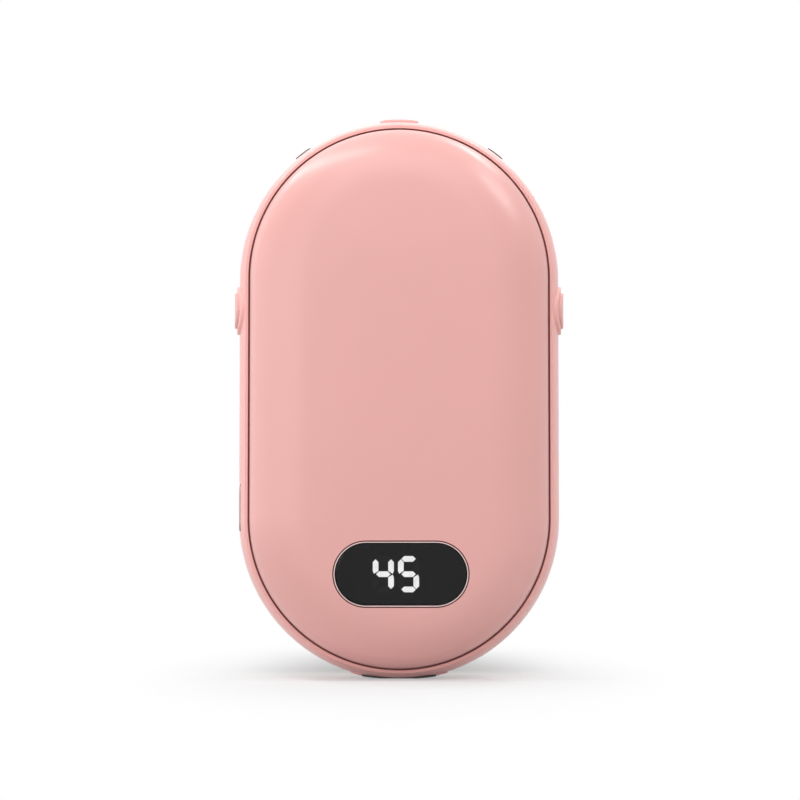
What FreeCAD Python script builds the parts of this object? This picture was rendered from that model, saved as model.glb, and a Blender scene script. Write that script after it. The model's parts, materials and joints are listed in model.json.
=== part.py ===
import FreeCAD, Part
import Sketcher
import math
import operator
import os
from types import SimpleNamespace

# A pill-shaped rechargeable hand warmer, standing on its foot.
# X runs to the right, Y runs from the front to the back and Z runs up from the foot's flat underside.

doc = FreeCAD.newDocument("hand_warmer")

# Driving sizes: lengths in millimetres, angles in degrees
SIZES = {
    # Outline of the whole body, seen from the front and from the side
    "body_width": 60,
    "straight_height": 44.8,
    "body_depth": 27,
    "foot_rise": 0.28,
    # Side band between the shells
    "band_bulge_radius": 10,
    "band_depth": 10,
    "lip_chamfer": 0.08,
    "lip_face": 0.53,
    "seat_drop": 0.6,
    "rib_step": 0.1,
    # Front and back shells
    "groove_width": 0.3,
    "shell_wall": 1.6,
    "shell_face_wall": 2.1,
    "shell_edge_radius": 8.3,
    "crown_radius": 300,
    "skirt_least": 0.1,
    # Clearances, and how far a cut runs past what it cuts
    "fit_gap": 0.05,
    "slide_gap": 0.15,
    "inner_gap": 0.35,
    "cut_overrun": 1,
    # Display window, placed by the room left between its lower corners and the shell's outline
    "display_shift": 0.35,
    "display_margin": 9.44,
    "bezel_width": 25,
    "bezel_height": 12.25,
    "bezel_rim": 0.42,
    "bezel_flange": 1,
    "bezel_flange_thick": 0.6,
    "lens_recess": 0.12,
    "lens_thick": 1.6,
    "segment_thick": 0.2,
    "segment_width": 1.15,
    "segment_gap": 0.2,
    "digit_width": 3.96,
    "digit_height": 6.7,
    "digit_gap": 0.64,
    "digits_shift": -0.57,
    "housing_depth": 6,
    "housing_margin": 0.5,
    "display_pin_radius": 0.25,
    "display_pin_pitch": 2.54,
    "display_pin_rows": 6,
    # Push buttons and their switches; the side buttons sit below the upper arc's centre
    "press_travel": 0.4,
    "press_gap": 0.05,
    "power_length": 7.5,
    "power_width": 4.2,
    "power_proud": 0.46,
    "power_flange_rim": 0.6,
    "button_flange_thick": 0.8,
    "cap_edge_round": 0.3,
    "side_button_drop": 5.77,
    "side_cap_radius": 3.45,
    "side_cap_proud": 0.94,
    "side_flange_rim": 0.75,
    "collar_rim": 1.1,
    "collar_proud": 0.5,
    "collar_edge_round": 0.2,
    "plunger_radius": 1.2,
    "plunger_length": 0.9,
    "switch_size": 4,
    "switch_tall": 1.4,
    # Flexible circuit for the switches and the shoulder lights
    "flex_thick": 0.15,
    "flex_width": 3,
    "flex_end_margin": 4.75,
    "flex_connector_width": 3,
    "flex_connector_tall": 3,
    "flex_connector_gap": 0.8,
    "light_angle": 37,
    "light_lens_length": 3.5,
    "light_lens_width": 2,
    "light_lens_proud": 0.3,
    "led_length": 2,
    "led_width": 1.2,
    "led_tall": 1.2,
    # Charging socket in the left side, placed above the lower arc's centre
    "socket_rise": 1.98,
    "socket_width": 8.94,
    "socket_thick": 3.26,
    "socket_depth": 7.35,
    "socket_wall": 0.3,
    "tongue_width": 6.69,
    "tongue_thick": 0.7,
    "tongue_length": 4.45,
    # Foot
    "foot_length": 14,
    "foot_width": 6.8,
    "foot_thick": 1.2,
    "foot_flat": 7,
    "foot_end_rise": 0.5,
    # Chassis, its arch that backs the switches, and its screws
    "chassis_front": 5,
    "chassis_thick": 1.5,
    "arch_wall": 1.2,
    "arch_margin": 0.2,
    "arch_foot_gap": 2,
    "boss_radius": 1.8,
    "screw_circle_angle": 25,
    "screw_radius": 0.9,
    "screw_length": 5.4,
    "screw_head_radius": 1.4,
    "screw_head_tall": 1.2,
    "screw_slot_width": 0.4,
    "screw_slot_depth": 0.5,
    # Main board and what is soldered to it
    "board_foot_room": 10.38,
    "board_gap": 3.1,
    "board_thick": 1.2,
    "board_tab_margin": 1.2,
    "board_top_margin": 2,
    "board_screw_inset": 3.5,
    "chip_size": 7,
    "chip_tall": 1,
    "chip_pin_gap": 0.4,
    "component_drop": 9,
    "component_gap": 1,
    "coil_radius": 3,
    "coil_tall": 3,
    "coil_pin_gap": 1,
    "capacitor_length": 2,
    "capacitor_width": 1.25,
    "capacitor_pitch": 2.6,
    "capacitor_drop": 3,
    # Battery and its guard board
    "battery_side_room": 3.9,
    "battery_round": 1.5,
    "guard_overlap": 2,
    "guard_tall": 3.6,
    "guard_front": 1,
    "guard_thick": 1,
    "tab_width": 4,
    "tab_length": 2.4,
    "tab_thick": 0.3,
    "tab_spread": 6,
    "lead_radius": 0.6,
    "lead_spread": 8,
    # Heating layers
    "heat_plate_thick": 0.8,
    "heat_film_thick": 0.3,
    "film_margin": 0.5,
    "front_pad_thick": 3.3,
    "front_heat_gap": 3.4,
    "heater_pin_radius": 0.5,
    "heater_pin_inset": 3,
    "front_heater_pin_gap": 1.3,
    "back_heater_pin_spread": 4,
    "bead_length": 2.4,
    "bead_thick": 1.2,
    "bead_lead_radius": 0.2,
    "bead_lead_spread": 0.6,
}
DISPLAY_PINS_PER_ROW = 5
CAPACITOR_COUNT = 3

sheet = doc.addObject("Spreadsheet::Sheet", "sizes")
for row, (name, value) in enumerate(SIZES.items(), start=1):
    sheet.set(f"A{row}", name)
    sheet.set(f"B{row}", str(value))
    sheet.setAlias(f"B{row}", name)
doc.recompute()


class Size:
    """A length worked out from the sheet: its value now, and the expression that keeps it current."""

    def __init__(self, value, text):
        self.value = value
        self.text = text

    def __add__(self, other):
        return joined(operator.add, self, "+", other)

    def __sub__(self, other):
        return joined(operator.sub, self, "-", other)

    def __mul__(self, other):
        return joined(operator.mul, self, "*", other)

    def __truediv__(self, other):
        return joined(operator.truediv, self, "/", other)

    def __neg__(self):
        return Size(-self.value, f"(-{self.text})")


def joined(work, left, sign, right):
    """Two sizes, or a size and a plain factor, put together in value and in expression."""
    if not isinstance(right, Size):
        right = Size(right, str(right))
    return Size(work(left.value, right.value), f"({left.text} {sign} {right.text})")


def squared(length):
    return length * length


def smaller(first, second):
    return Size(min(first.value, second.value), f"min({first.text}; {second.text})")


def larger(first, second):
    return Size(max(first.value, second.value), f"max({first.text}; {second.text})")


def root(area):
    return Size(math.sqrt(area.value), f"sqrt({area.text})")


def sine(angle):
    return Size(math.sin(math.radians(angle.value)), f"sin({angle.text})")


def cosine(angle):
    return Size(math.cos(math.radians(angle.value)), f"cos({angle.text})")


ZERO = Size(0, "0")
size = SimpleNamespace(**{name: Size(value, f"sizes.{name}") for name, value in SIZES.items()})

# Places that several pieces share: the pill outline
half_width = size.body_width / 2
half_straight = size.straight_height / 2
low_centre = half_width - size.foot_rise
mid_height = low_centre + half_straight
high_centre = low_centre + size.straight_height
face = size.body_depth / 2
lip = size.band_depth / 2
seat = lip - size.seat_drop

# Across the band and the shells, outwards from the pill's middle line
bulge_centre = half_width - size.band_bulge_radius
bulge_end = lip - size.lip_chamfer
bulge_edge = bulge_centre + root(squared(size.band_bulge_radius) - squared(bulge_end))
lip_edge = bulge_edge - size.lip_chamfer
lip_half_width = lip_edge - size.lip_face
shell_half_width = lip_half_width - size.groove_width
inner_half_width = shell_half_width - size.shell_wall
rib_half_width = inner_half_width - size.rib_step

# The shells' rounded edge, no larger than the height that the crown leaves above the seat
inner_face = face - size.shell_face_wall
seat_to_crown = seat + size.skirt_least - face + size.crown_radius
edge_room = squared(size.crown_radius) - squared(shell_half_width) - squared(seat_to_crown)
edge_limit = edge_room / ((size.crown_radius - shell_half_width) * 2)
edge_radius = smaller(size.shell_edge_radius, edge_limit)
inner_radius = smaller(edge_radius - size.shell_wall, inner_face - seat - size.skirt_least)

# Inwards from the band's rib: button flange, plunger, switch, flexible circuit, chassis arch
flange_inner = rib_half_width - size.button_flange_thick
plunger_tip = flange_inner - size.plunger_length
switch_top = plunger_tip - size.press_gap - size.press_travel
flex_top = switch_top - size.switch_tall
arch_radius = flex_top - size.flex_thick
arch_inner = arch_radius - size.arch_wall
half_switch = size.switch_size / 2
side_button_height = high_centre - size.side_button_drop
side_flange_radius = size.side_cap_radius + size.side_flange_rim

# Depths of the chassis and the board
chassis_back = size.chassis_front + size.chassis_thick
inner_turn_depth = chassis_back - inner_face + inner_radius
chassis_bulge = root(squared(inner_radius) - squared(inner_turn_depth))
chassis_half_width = inner_half_width - inner_radius + chassis_bulge - size.inner_gap
board_back = -(size.socket_thick / 2)
board_front = board_back - size.board_thick

# Height of the display, whose lower corners keep their distance from the shell's outline
bezel_end = size.bezel_height / 2
bezel_end_x = size.bezel_width / 2 - bezel_end + size.display_shift
bezel_end_reach = shell_half_width - size.display_margin - bezel_end
display_height = low_centre - root(squared(bezel_end_reach) - squared(bezel_end_x))

# Heights on the board, from the socket up to the battery
socket_height = low_centre + size.socket_rise
board_drop = rib_half_width - size.board_foot_room
board_low = low_centre - board_drop
connector_low = socket_height + size.socket_width / 2 + size.flex_connector_gap
connector_top = connector_low + size.flex_connector_tall
display_top = display_height + bezel_end + size.bezel_flange
half_chip = size.chip_size / 2
components_high = display_top + size.component_gap + half_chip + size.component_drop
board_high = larger(connector_top + size.board_top_margin, components_high)
half_board = root(squared(rib_half_width) - squared(board_drop)) - size.board_gap
board_screw_x = half_board - size.board_screw_inset
component_height = board_high - size.component_drop
guard_low = board_high - size.guard_overlap
guard_top = guard_low + size.guard_tall
battery_low = guard_top + size.tab_length
battery_half_width = arch_inner - size.battery_side_room
battery_arch = root(squared(arch_inner) - squared(battery_half_width))
battery_high = high_centre + battery_arch - size.inner_gap

# Heating layers, inwards from the shells
screw_circle = arch_inner - size.screw_head_radius - size.inner_gap
heat_half_width = screw_circle - size.boss_radius - size.inner_gap
film_half_width = heat_half_width - size.film_margin
plate_depth = inner_face - size.heat_plate_thick
film_depth = plate_depth - size.heat_film_thick
battery_front = size.front_pad_thick - film_depth
front_heat_low = display_top + size.front_heat_gap
front_pin_height = front_heat_low + size.heater_pin_inset
front_pad_low = front_pin_height + size.heater_pin_inset
front_pin_x = board_screw_x - size.screw_head_radius - size.front_heater_pin_gap
front_pin_inner = front_pin_x - size.heater_pin_radius
back_pin_height = board_low + size.heater_pin_inset
back_pad_low = back_pin_height + size.heater_pin_inset

# Turns that point a piece's own Z axis somewhere; "front" and "back" keep its X axis along X
X_AXIS = FreeCAD.Vector(1, 0, 0)
Y_AXIS = FreeCAD.Vector(0, 1, 0)
Z_AXIS = FreeCAD.Vector(0, 0, 1)
QUARTER = 90
TURNS = {
    "up": FreeCAD.Rotation(X_AXIS, 0),
    "front": FreeCAD.Rotation(X_AXIS, QUARTER),
    "back": FreeCAD.Rotation(X_AXIS, -QUARTER),
    "left": FreeCAD.Rotation(Y_AXIS, -QUARTER),
    "right": FreeCAD.Rotation(Y_AXIS, QUARTER),
    "over": FreeCAD.Rotation(X_AXIS, 2 * QUARTER),
}
SIDES = {"left": -1, "right": 1}

nodes = []


def node(name, piece):
    """Name a finished piece of the assembly, so that it is checked and written."""
    piece.Label = name
    nodes.append(piece)
    return piece


def bind(piece, property_name, length):
    piece.setExpression(property_name, length.text)


def place(piece, where, turn=None):
    """Turn a piece, then tie its place to the sheet."""
    if turn is not None:
        piece.Placement = FreeCAD.Placement(FreeCAD.Vector(), turn)
    for axis, length in zip("xyz", where):
        bind(piece, f"Placement.Base.{axis}", length)


def block(name, low, span):
    """A block from its lowest corner and its spans along X, Y and Z."""
    piece = doc.addObject("Part::Box", name)
    for property_name, length in zip(("Length", "Width", "Height"), span):
        bind(piece, property_name, length)
    place(piece, low)
    return piece


def rod(name, base, radius, length, direction):
    """A round rod from the middle of its base face."""
    piece = doc.addObject("Part::Cylinder", name)
    bind(piece, "Radius", radius)
    bind(piece, "Height", length)
    place(piece, base, TURNS[direction])
    return piece


def fuse(name, pieces):
    piece = doc.addObject("Part::MultiFuse", name)
    piece.Shapes = pieces
    piece.Refine = True
    return piece


def common(name, pieces):
    piece = doc.addObject("Part::MultiCommon", name)
    piece.Shapes = pieces
    return piece


def cut(name, base, tools):
    """Take one tool, or several fused ones, out of a base."""
    piece = doc.addObject("Part::Cut", name)
    piece.Base = base
    piece.Tool = tools[0] if len(tools) == 1 else fuse(f"{name}_tools", tools)
    return piece


def group(name, pieces):
    """Separate solids that share one node."""
    piece = doc.addObject("Part::Compound", name)
    piece.Links = pieces
    return piece


def rounded(name, base, radius, wanted):
    """Round the edges of a piece that a test picks out."""
    doc.recompute()
    picked = [index for index, edge in enumerate(base.Shape.Edges, start=1) if wanted(edge)]
    piece = doc.addObject("Part::Fillet", name)
    piece.Base = base
    piece.Edges = [(index, radius.value, radius.value) for index in picked]
    return piece


def origin_plane(body, role):
    return next(plane for plane in body.Origin.OriginFeatures if plane.Role == role)


def flat_sketch(body, name, height=ZERO):
    """A sketch on the body's own XY plane, lifted by a height."""
    sketch = body.newObject("Sketcher::SketchObject", name)
    sketch.AttachmentSupport = [(origin_plane(body, "XY_Plane"), "")]
    sketch.MapMode = "FlatFace"
    bind(sketch, "AttachmentOffset.Base.z", height)
    return sketch


def hold(sketch, kind, places, length):
    """Add a dimension to a sketch and tie it to the sheet."""
    index = sketch.addConstraint(Sketcher.Constraint(kind, *places, length.value))
    sketch.setExpression(f"Constraints[{index}]", length.text)


def link(sketch, kind, *places):
    sketch.addConstraint(Sketcher.Constraint(kind, *places))


def spot(x, y):
    return FreeCAD.Vector(x.value, y.value, 0)


def line(start, end):
    return Part.LineSegment(start, end)


def arc(centre, radius, start_angle, end_angle):
    circle = Part.Circle(centre, Z_AXIS, radius.value)
    return Part.ArcOfCircle(circle, math.radians(start_angle), math.radians(end_angle))


def chain(sketch, count):
    """Join each line of a closed outline to the next where no tangent joins them."""
    for index in range(count):
        link(sketch, "Coincident", index, 2, (index + 1) % count, 1)


def slot(name, length, width, tall, turn, base, upright=False):
    """A prism with a pill outline, standing on its base along its own Z axis."""
    body = doc.addObject("PartDesign::Body", name)
    sketch = flat_sketch(body, f"{name}_outline")
    reach = (length - width) / 2
    radius = width / 2
    middle = QUARTER if upright else 0
    along = (ZERO, reach) if upright else (reach, ZERO)
    first = spot(*along)
    across = FreeCAD.Rotation(Z_AXIS, middle).multVec(Y_AXIS) * radius.value
    sketch.addGeometry([
        arc(first, radius, middle - QUARTER, middle + QUARTER),
        line(first + across, across - first),
        arc(-first, radius, middle + QUARTER, middle + 3 * QUARTER),
        line(-first - across, first - across),
    ])
    for index in range(4):
        link(sketch, "Tangent", index, 2, (index + 1) % 4, 1)
    link(sketch, "Equal", 0, 2)
    link(sketch, "Symmetric", 0, 3, 2, 3, -1, 1)
    link(sketch, "PointOnObject", 0, 3, -2 if upright else -1)
    hold(sketch, "DistanceY" if upright else "DistanceX", (2, 3, 0, 3), reach * 2)
    hold(sketch, "Radius", (0,), radius)
    pad = body.newObject("PartDesign::Pad", f"{name}_pad")
    pad.Profile = sketch
    bind(pad, "Length", tall)
    place(body, base, turn)
    return body


def draw_crowned_half(sketch, reach, base, top, edge_radius, crown_radius):
    """Half a shell section: base, skirt, rounded edge, and a crown that ends level on the axis."""
    crown_y = top - crown_radius
    edge_x = reach - edge_radius
    edge_y = crown_y + root(squared(crown_radius - edge_radius) - squared(edge_x))
    edge_turn = math.degrees(math.atan2((edge_y - crown_y).value, edge_x.value))
    edge_centre = spot(edge_x, edge_y)
    crown_centre = spot(ZERO, crown_y)
    sketch.addGeometry([
        line(spot(ZERO, base), spot(reach, base)),
        line(spot(reach, base), spot(reach, edge_y)),
        arc(edge_centre, edge_radius, 0, edge_turn),
        arc(crown_centre, crown_radius, edge_turn, QUARTER),
        line(spot(ZERO, top), spot(ZERO, base)),
    ])
    link(sketch, "Coincident", 0, 2, 1, 1)
    link(sketch, "Tangent", 1, 2, 2, 1)
    link(sketch, "Tangent", 2, 2, 3, 1)
    link(sketch, "Coincident", 3, 2, 4, 1)
    link(sketch, "Coincident", 4, 2, 0, 1)
    link(sketch, "Horizontal", 0)
    link(sketch, "Vertical", 1)
    link(sketch, "PointOnObject", 3, 3, -2)
    link(sketch, "PointOnObject", 4, 1, -2)
    link(sketch, "PointOnObject", 4, 2, -2)
    hold(sketch, "DistanceX", (-1, 1, 1, 1), reach)
    hold(sketch, "DistanceY", (-1, 1, 0, 1), base)
    hold(sketch, "DistanceY", (-1, 1, 4, 1), top)
    hold(sketch, "Radius", (2,), edge_radius)
    hold(sketch, "Radius", (3,), crown_radius)


def draw_flat_half(sketch, reach, base, top, edge_radius):
    """Half a cavity section: base, side, rounded edge and a level top that ends on the axis."""
    edge_x = reach - edge_radius
    edge_y = top - edge_radius
    sketch.addGeometry([
        line(spot(ZERO, base), spot(reach, base)),
        line(spot(reach, base), spot(reach, edge_y)),
        arc(spot(edge_x, edge_y), edge_radius, 0, QUARTER),
        line(spot(edge_x, top), spot(ZERO, top)),
        line(spot(ZERO, top), spot(ZERO, base)),
    ])
    link(sketch, "Coincident", 0, 2, 1, 1)
    link(sketch, "Tangent", 1, 2, 2, 1)
    link(sketch, "Tangent", 2, 2, 3, 1)
    link(sketch, "Coincident", 3, 2, 4, 1)
    link(sketch, "Coincident", 4, 2, 0, 1)
    link(sketch, "Horizontal", 0)
    link(sketch, "Vertical", 1)
    link(sketch, "Horizontal", 3)
    link(sketch, "PointOnObject", 4, 1, -2)
    link(sketch, "PointOnObject", 4, 2, -2)
    hold(sketch, "DistanceX", (-1, 1, 1, 1), reach)
    hold(sketch, "DistanceY", (-1, 1, 0, 1), base)
    hold(sketch, "DistanceY", (-1, 1, 4, 1), top)
    hold(sketch, "Radius", (2,), edge_radius)


def draw_band_section(sketch):
    """The band cut across: a bulging outside, thin lips round the shells and a rib that seats them."""
    bulge = size.band_bulge_radius
    bulge_turn = math.degrees(math.asin(bulge_end.value / bulge.value))
    corners = [
        (bulge_edge, bulge_end),
        (lip_edge, lip),
        (lip_half_width, lip),
        (lip_half_width, seat),
        (rib_half_width, seat),
        (rib_half_width, -seat),
        (lip_half_width, -seat),
        (lip_half_width, -lip),
        (lip_edge, -lip),
        (bulge_edge, -bulge_end),
    ]
    points = [spot(*corner) for corner in corners]
    sides = [line(start, end) for start, end in zip(points, points[1:])]
    outside = arc(spot(bulge_centre, ZERO), bulge, -bulge_turn, bulge_turn)
    sketch.addGeometry(sides + [outside])
    chain(sketch, len(corners))
    for index, (x, y) in enumerate(corners):
        if 0 < index < len(corners) - 1:
            hold(sketch, "DistanceX", (-1, 1, index, 1), x)
        hold(sketch, "DistanceY", (-1, 1, index, 1) if index < len(sides) else (-1, 1, index - 1, 2), y)
    link(sketch, "PointOnObject", len(sides), 3, -1)
    hold(sketch, "DistanceX", (-1, 1, len(sides), 3), bulge_centre)
    hold(sketch, "Radius", (len(sides),), bulge)


def round_pill(name, draw_half, turn):
    """Take a half section round the pill outline: a half turn at each end and a straight run on each side."""
    body = doc.addObject("PartDesign::Body", name)
    ends = {"top": (half_straight, True), "bottom": (-half_straight, False)}

    def half_turn(end):
        height, backwards = ends[end]
        sketch = flat_sketch(body, f"{name}_{end}_section", height)
        draw_half(sketch)
        feature = body.newObject("PartDesign::Revolution", f"{name}_{end}_turn")
        feature.Profile = sketch
        feature.ReferenceAxis = (sketch, ["V_Axis"])
        feature.Angle = 2 * QUARTER
        feature.Reversed = backwards
        doc.recompute()

    half_turn("top")
    sketch = flat_sketch(body, f"{name}_side_section")
    draw_half(sketch)
    run = body.newObject("PartDesign::Pad", f"{name}_right_run")
    run.Profile = sketch
    run.SideType = "Symmetric"
    bind(run, "Length", size.straight_height)
    doc.recompute()
    other_run = body.newObject("PartDesign::Mirrored", f"{name}_left_run")
    other_run.Originals = [run]
    other_run.MirrorPlane = (origin_plane(body, "YZ_Plane"), [""])
    body.Tip = other_run
    doc.recompute()
    half_turn("bottom")
    place(body, (ZERO, ZERO, mid_height), turn)
    return body


def front_pill(name, length, width, start, tall):
    """A pill prism that runs towards the front from a depth, centred on the display."""
    base = (size.display_shift, start, display_height)
    return slot(name, length, width, tall, TURNS["front"], base)


# Screws that hold the chassis to the back shell, and the board to the chassis
circle_x = screw_circle * sine(size.screw_circle_angle)
circle_z = screw_circle * cosine(size.screw_circle_angle)
CHASSIS_SCREWS = [
    (circle_x * side, centre + circle_z * way)
    for side in SIDES.values()
    for centre, way in ((low_centre, -1), (high_centre, 1))
]
BOARD_SCREWS = [
    (board_screw_x * side, height)
    for side in SIDES.values()
    for height in (board_low + size.board_screw_inset, board_high - size.board_screw_inset)
]


def screw_set(name, places, under_head):
    """Slotted pan screws that point to the back, with their heads against one plane."""
    screws = []
    for index, (x, z) in enumerate(places):
        label = f"{name}_{index}"
        top = under_head - size.screw_head_tall
        head = rod(f"{label}_head", (x, under_head, z), size.screw_head_radius, size.screw_head_tall, "front")
        shank = rod(f"{label}_shank", (x, under_head, z), size.screw_radius, size.screw_length, "back")
        slot_low = (x - size.screw_head_radius, top, z - size.screw_slot_width / 2)
        slot_span = (size.screw_head_radius * 2, size.screw_slot_depth, size.screw_slot_width)
        blank = fuse(f"{label}_blank", [head, shank])
        screws.append(cut(label, blank, [block(f"{label}_slot", slot_low, slot_span)]))
    return node(name, group(name, screws))


def pilot_holes(name, places, start, length):
    radius = size.screw_radius + size.fit_gap
    return [
        rod(f"{name}_{index}", (x, start, z), radius, length, "back")
        for index, (x, z) in enumerate(places)
    ]


# Shells: a crowned outside, a level inside, and pegs left in the back one for the chassis screws
def draw_outside(sketch):
    draw_crowned_half(sketch, shell_half_width, seat, face, edge_radius, size.crown_radius)


def draw_inside(sketch):
    draw_flat_half(sketch, inner_half_width, seat, inner_face, inner_radius)


def draw_lens_face(sketch):
    low_seat = seat - size.lens_recess
    lens_face = face - size.lens_recess
    draw_crowned_half(sketch, shell_half_width, low_seat, lens_face, edge_radius, size.crown_radius)


front_outside = round_pill("front_outside", draw_outside, TURNS["over"])
front_inside = round_pill("front_inside", draw_inside, TURNS["over"])
back_outside = round_pill("back_outside", draw_outside, TURNS["up"])
back_inside = round_pill("back_inside", draw_inside, TURNS["up"])
lens_outside = round_pill("lens_outside", draw_lens_face, TURNS["over"])

window_tall = face - inner_face + size.cut_overrun * 2
window_start = size.cut_overrun - inner_face
window_hole = front_pill(
    "window_hole",
    size.bezel_width + size.fit_gap * 2,
    size.bezel_height + size.fit_gap * 2,
    window_start,
    window_tall,
)
node("front_shell", cut("front_shell_cut", front_outside, [front_inside, window_hole]))

pegs = [
    rod(f"peg_{index}", (x, chassis_back, z), size.boss_radius, face - chassis_back, "back")
    for index, (x, z) in enumerate(CHASSIS_SCREWS)
]
back_hollow = cut("back_hollow", back_inside, pegs)
peg_hole_depth = size.screw_length - size.chassis_thick + size.fit_gap
peg_holes = pilot_holes("peg_hole", CHASSIS_SCREWS, chassis_back, peg_hole_depth)
node("back_shell", cut("back_shell_cut", back_outside, [back_hollow] + peg_holes))

# Display: a thin rim let into the front shell, a smoked lens, two seven-segment digits and their housing
lens_width = size.bezel_width - size.bezel_rim * 2
lens_height = size.bezel_height - size.bezel_rim * 2
lens_back = size.lens_thick - face
rim_blank = front_pill("rim_blank", size.bezel_width, size.bezel_height, -inner_face, window_tall)
rim = common("rim", [rim_blank, front_outside])
flange_blank = front_pill(
    "flange_blank",
    size.bezel_width + size.bezel_flange * 2,
    size.bezel_height + size.bezel_flange * 2,
    size.bezel_flange_thick - inner_face,
    size.bezel_flange_thick,
)
flange = common("flange", [flange_blank, front_inside])
rim_opening = front_pill(
    "rim_opening",
    lens_width,
    lens_height,
    size.bezel_flange_thick + size.cut_overrun - inner_face,
    size.bezel_flange_thick + window_tall + size.cut_overrun,
)
node("display_bezel", cut("bezel_cut", fuse("bezel_blank", [rim, flange]), [rim_opening]))

lens_blank = front_pill(
    "lens_blank",
    lens_width - size.fit_gap * 2,
    lens_height - size.fit_gap * 2,
    lens_back,
    size.lens_thick + size.cut_overrun,
)
node("display_lens", common("lens_common", [lens_blank, lens_outside]))

housing_front = lens_back + size.segment_thick
housing_back = housing_front + size.housing_depth
node("display_housing", front_pill(
    "housing_body",
    lens_width - size.housing_margin * 2,
    lens_height - size.housing_margin * 2,
    housing_back,
    size.housing_depth,
))
pins = []
for row_side in SIDES.values():
    for index in range(DISPLAY_PINS_PER_ROW):
        pin_x = size.display_shift + size.display_pin_pitch * (index - (DISPLAY_PINS_PER_ROW - 1) / 2)
        pin_z = display_height + size.display_pin_rows / 2 * row_side
        pin_base = (pin_x, housing_back, pin_z)
        pin_length = board_front - housing_back
        pins.append(rod(f"pin_{row_side}_{index}", pin_base, size.display_pin_radius, pin_length, "back"))
node("display_pins", group("pin_group", pins))

# Places of the seven segments in a digit, as shares of half the span between the outer bars' centre lines
SEGMENT_SHARES = {
    "a": (0, 1, "level"),
    "b": (1, 0.5, "upright"),
    "c": (1, -0.5, "upright"),
    "d": (0, -1, "level"),
    "e": (-1, -0.5, "upright"),
    "f": (-1, 0.5, "upright"),
    "g": (0, 0, "level"),
}
DIGITS = {-1: "bcfg", 1: "acdfg"}


def segment(digit_side, letter):
    """One bar of a digit, with pointed ends, standing on the housing's front face."""
    width_share, height_share, way = SEGMENT_SHARES[letter]
    half_bar = size.segment_width.value / 2
    reach_x = size.digit_width.value / 2 - half_bar
    reach_z = size.digit_height.value / 2 - half_bar
    digit_x = (size.digits_shift + (size.digit_width + size.digit_gap) / 2 * digit_side).value
    middle_x = digit_x + width_share * reach_x
    middle_z = display_height.value + height_share * reach_z
    half_length = (reach_x if way == "level" else reach_z / 2) - size.segment_gap.value / 2
    shoulder = half_length - half_bar
    outline = [
        (-half_length, 0),
        (-shoulder, half_bar),
        (shoulder, half_bar),
        (half_length, 0),
        (shoulder, -half_bar),
        (-shoulder, -half_bar),
    ]
    points = []
    for along, across in outline:
        x, z = (along, across) if way == "level" else (across, along)
        points.append(FreeCAD.Vector(middle_x + x, housing_front.value, middle_z + z))
    bar = Part.Face(Part.makePolygon(points + points[:1]))
    return bar.extrude(FreeCAD.Vector(0, -size.segment_thick.value, 0))


def segments(name, lit):
    bars = [
        segment(digit_side, letter)
        for digit_side, letters in DIGITS.items()
        for letter in SEGMENT_SHARES
        if (letter in letters) == lit
    ]
    piece = doc.addObject("Part::Feature", f"{name}_bars")
    piece.Shape = Part.makeCompound(bars)
    return node(name, piece)


segments("lit_segments", True)
segments("unlit_segments", False)

# Side band, with a raised collar round each side button and openings for everything that passes through it
ring = round_pill("ring", draw_band_section, TURNS["up"])


def bulged_disc(name, side, radius, proud, start):
    """A round disc on one side of the band, whose face bulges in depth as the band does."""
    way = "right" if side > 0 else "left"
    length = half_width + size.cut_overrun + proud - start
    stub = rod(f"{name}_stub", (start * side, ZERO, side_button_height), radius, length, way)
    low = side_button_height - radius - size.cut_overrun
    tall = (radius + size.cut_overrun) * 2
    bulge = rod(f"{name}_bulge", (bulge_centre * side, ZERO, low), size.band_bulge_radius + proud, tall, "up")
    return common(name, [stub, bulge])


def is_outer_rim(edge):
    """True for the edge round a side disc's bulging face, the only one that is no line or circle."""
    return not isinstance(edge.Curve, (Part.Line, Part.Circle))


collars = []
bores = []
for side_name, side in SIDES.items():
    collar_radius = size.side_cap_radius + size.collar_rim
    disc = bulged_disc(f"{side_name}_collar", side, collar_radius, size.collar_proud, lip_half_width)
    collars.append(rounded(f"{side_name}_collar_round", disc, size.collar_edge_round, is_outer_rim))
    bore_base = ((rib_half_width - size.cut_overrun) * side, ZERO, side_button_height)
    bore_length = half_width - rib_half_width + size.cut_overrun * 3
    bore_radius = size.side_cap_radius + size.slide_gap
    bores.append(rod(f"{side_name}_bore", bore_base, bore_radius, bore_length, side_name))

through = half_width - rib_half_width + size.cut_overrun * 2
power_hole = slot(
    "power_hole",
    size.power_length + size.slide_gap * 2,
    size.power_width + size.slide_gap * 2,
    through,
    TURNS["up"],
    (ZERO, ZERO, high_centre + rib_half_width - size.cut_overrun),
)
socket_hole = slot(
    "socket_hole",
    size.socket_width + size.fit_gap * 2,
    size.socket_thick + size.fit_gap * 2,
    through,
    TURNS["left"],
    (size.cut_overrun - rib_half_width, ZERO, socket_height),
)
foot_pocket = slot(
    "foot_pocket",
    size.foot_length + size.fit_gap * 2,
    size.foot_width + size.fit_gap * 2,
    size.foot_thick + size.cut_overrun,
    TURNS["up"],
    (ZERO, ZERO, -size.cut_overrun),
)


def light_slot(name, side, grow, start, tall):
    """A pill prism that points outwards from the upper arc's centre at the shoulder light's angle."""
    angle = size.light_angle * side
    base = (sine(angle) * start, ZERO, high_centre + cosine(angle) * start)
    turn = FreeCAD.Rotation(Y_AXIS, angle.value)
    length = size.light_lens_length + grow * 2
    width = size.light_lens_width + grow * 2
    return slot(name, length, width, tall, turn, base)


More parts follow.
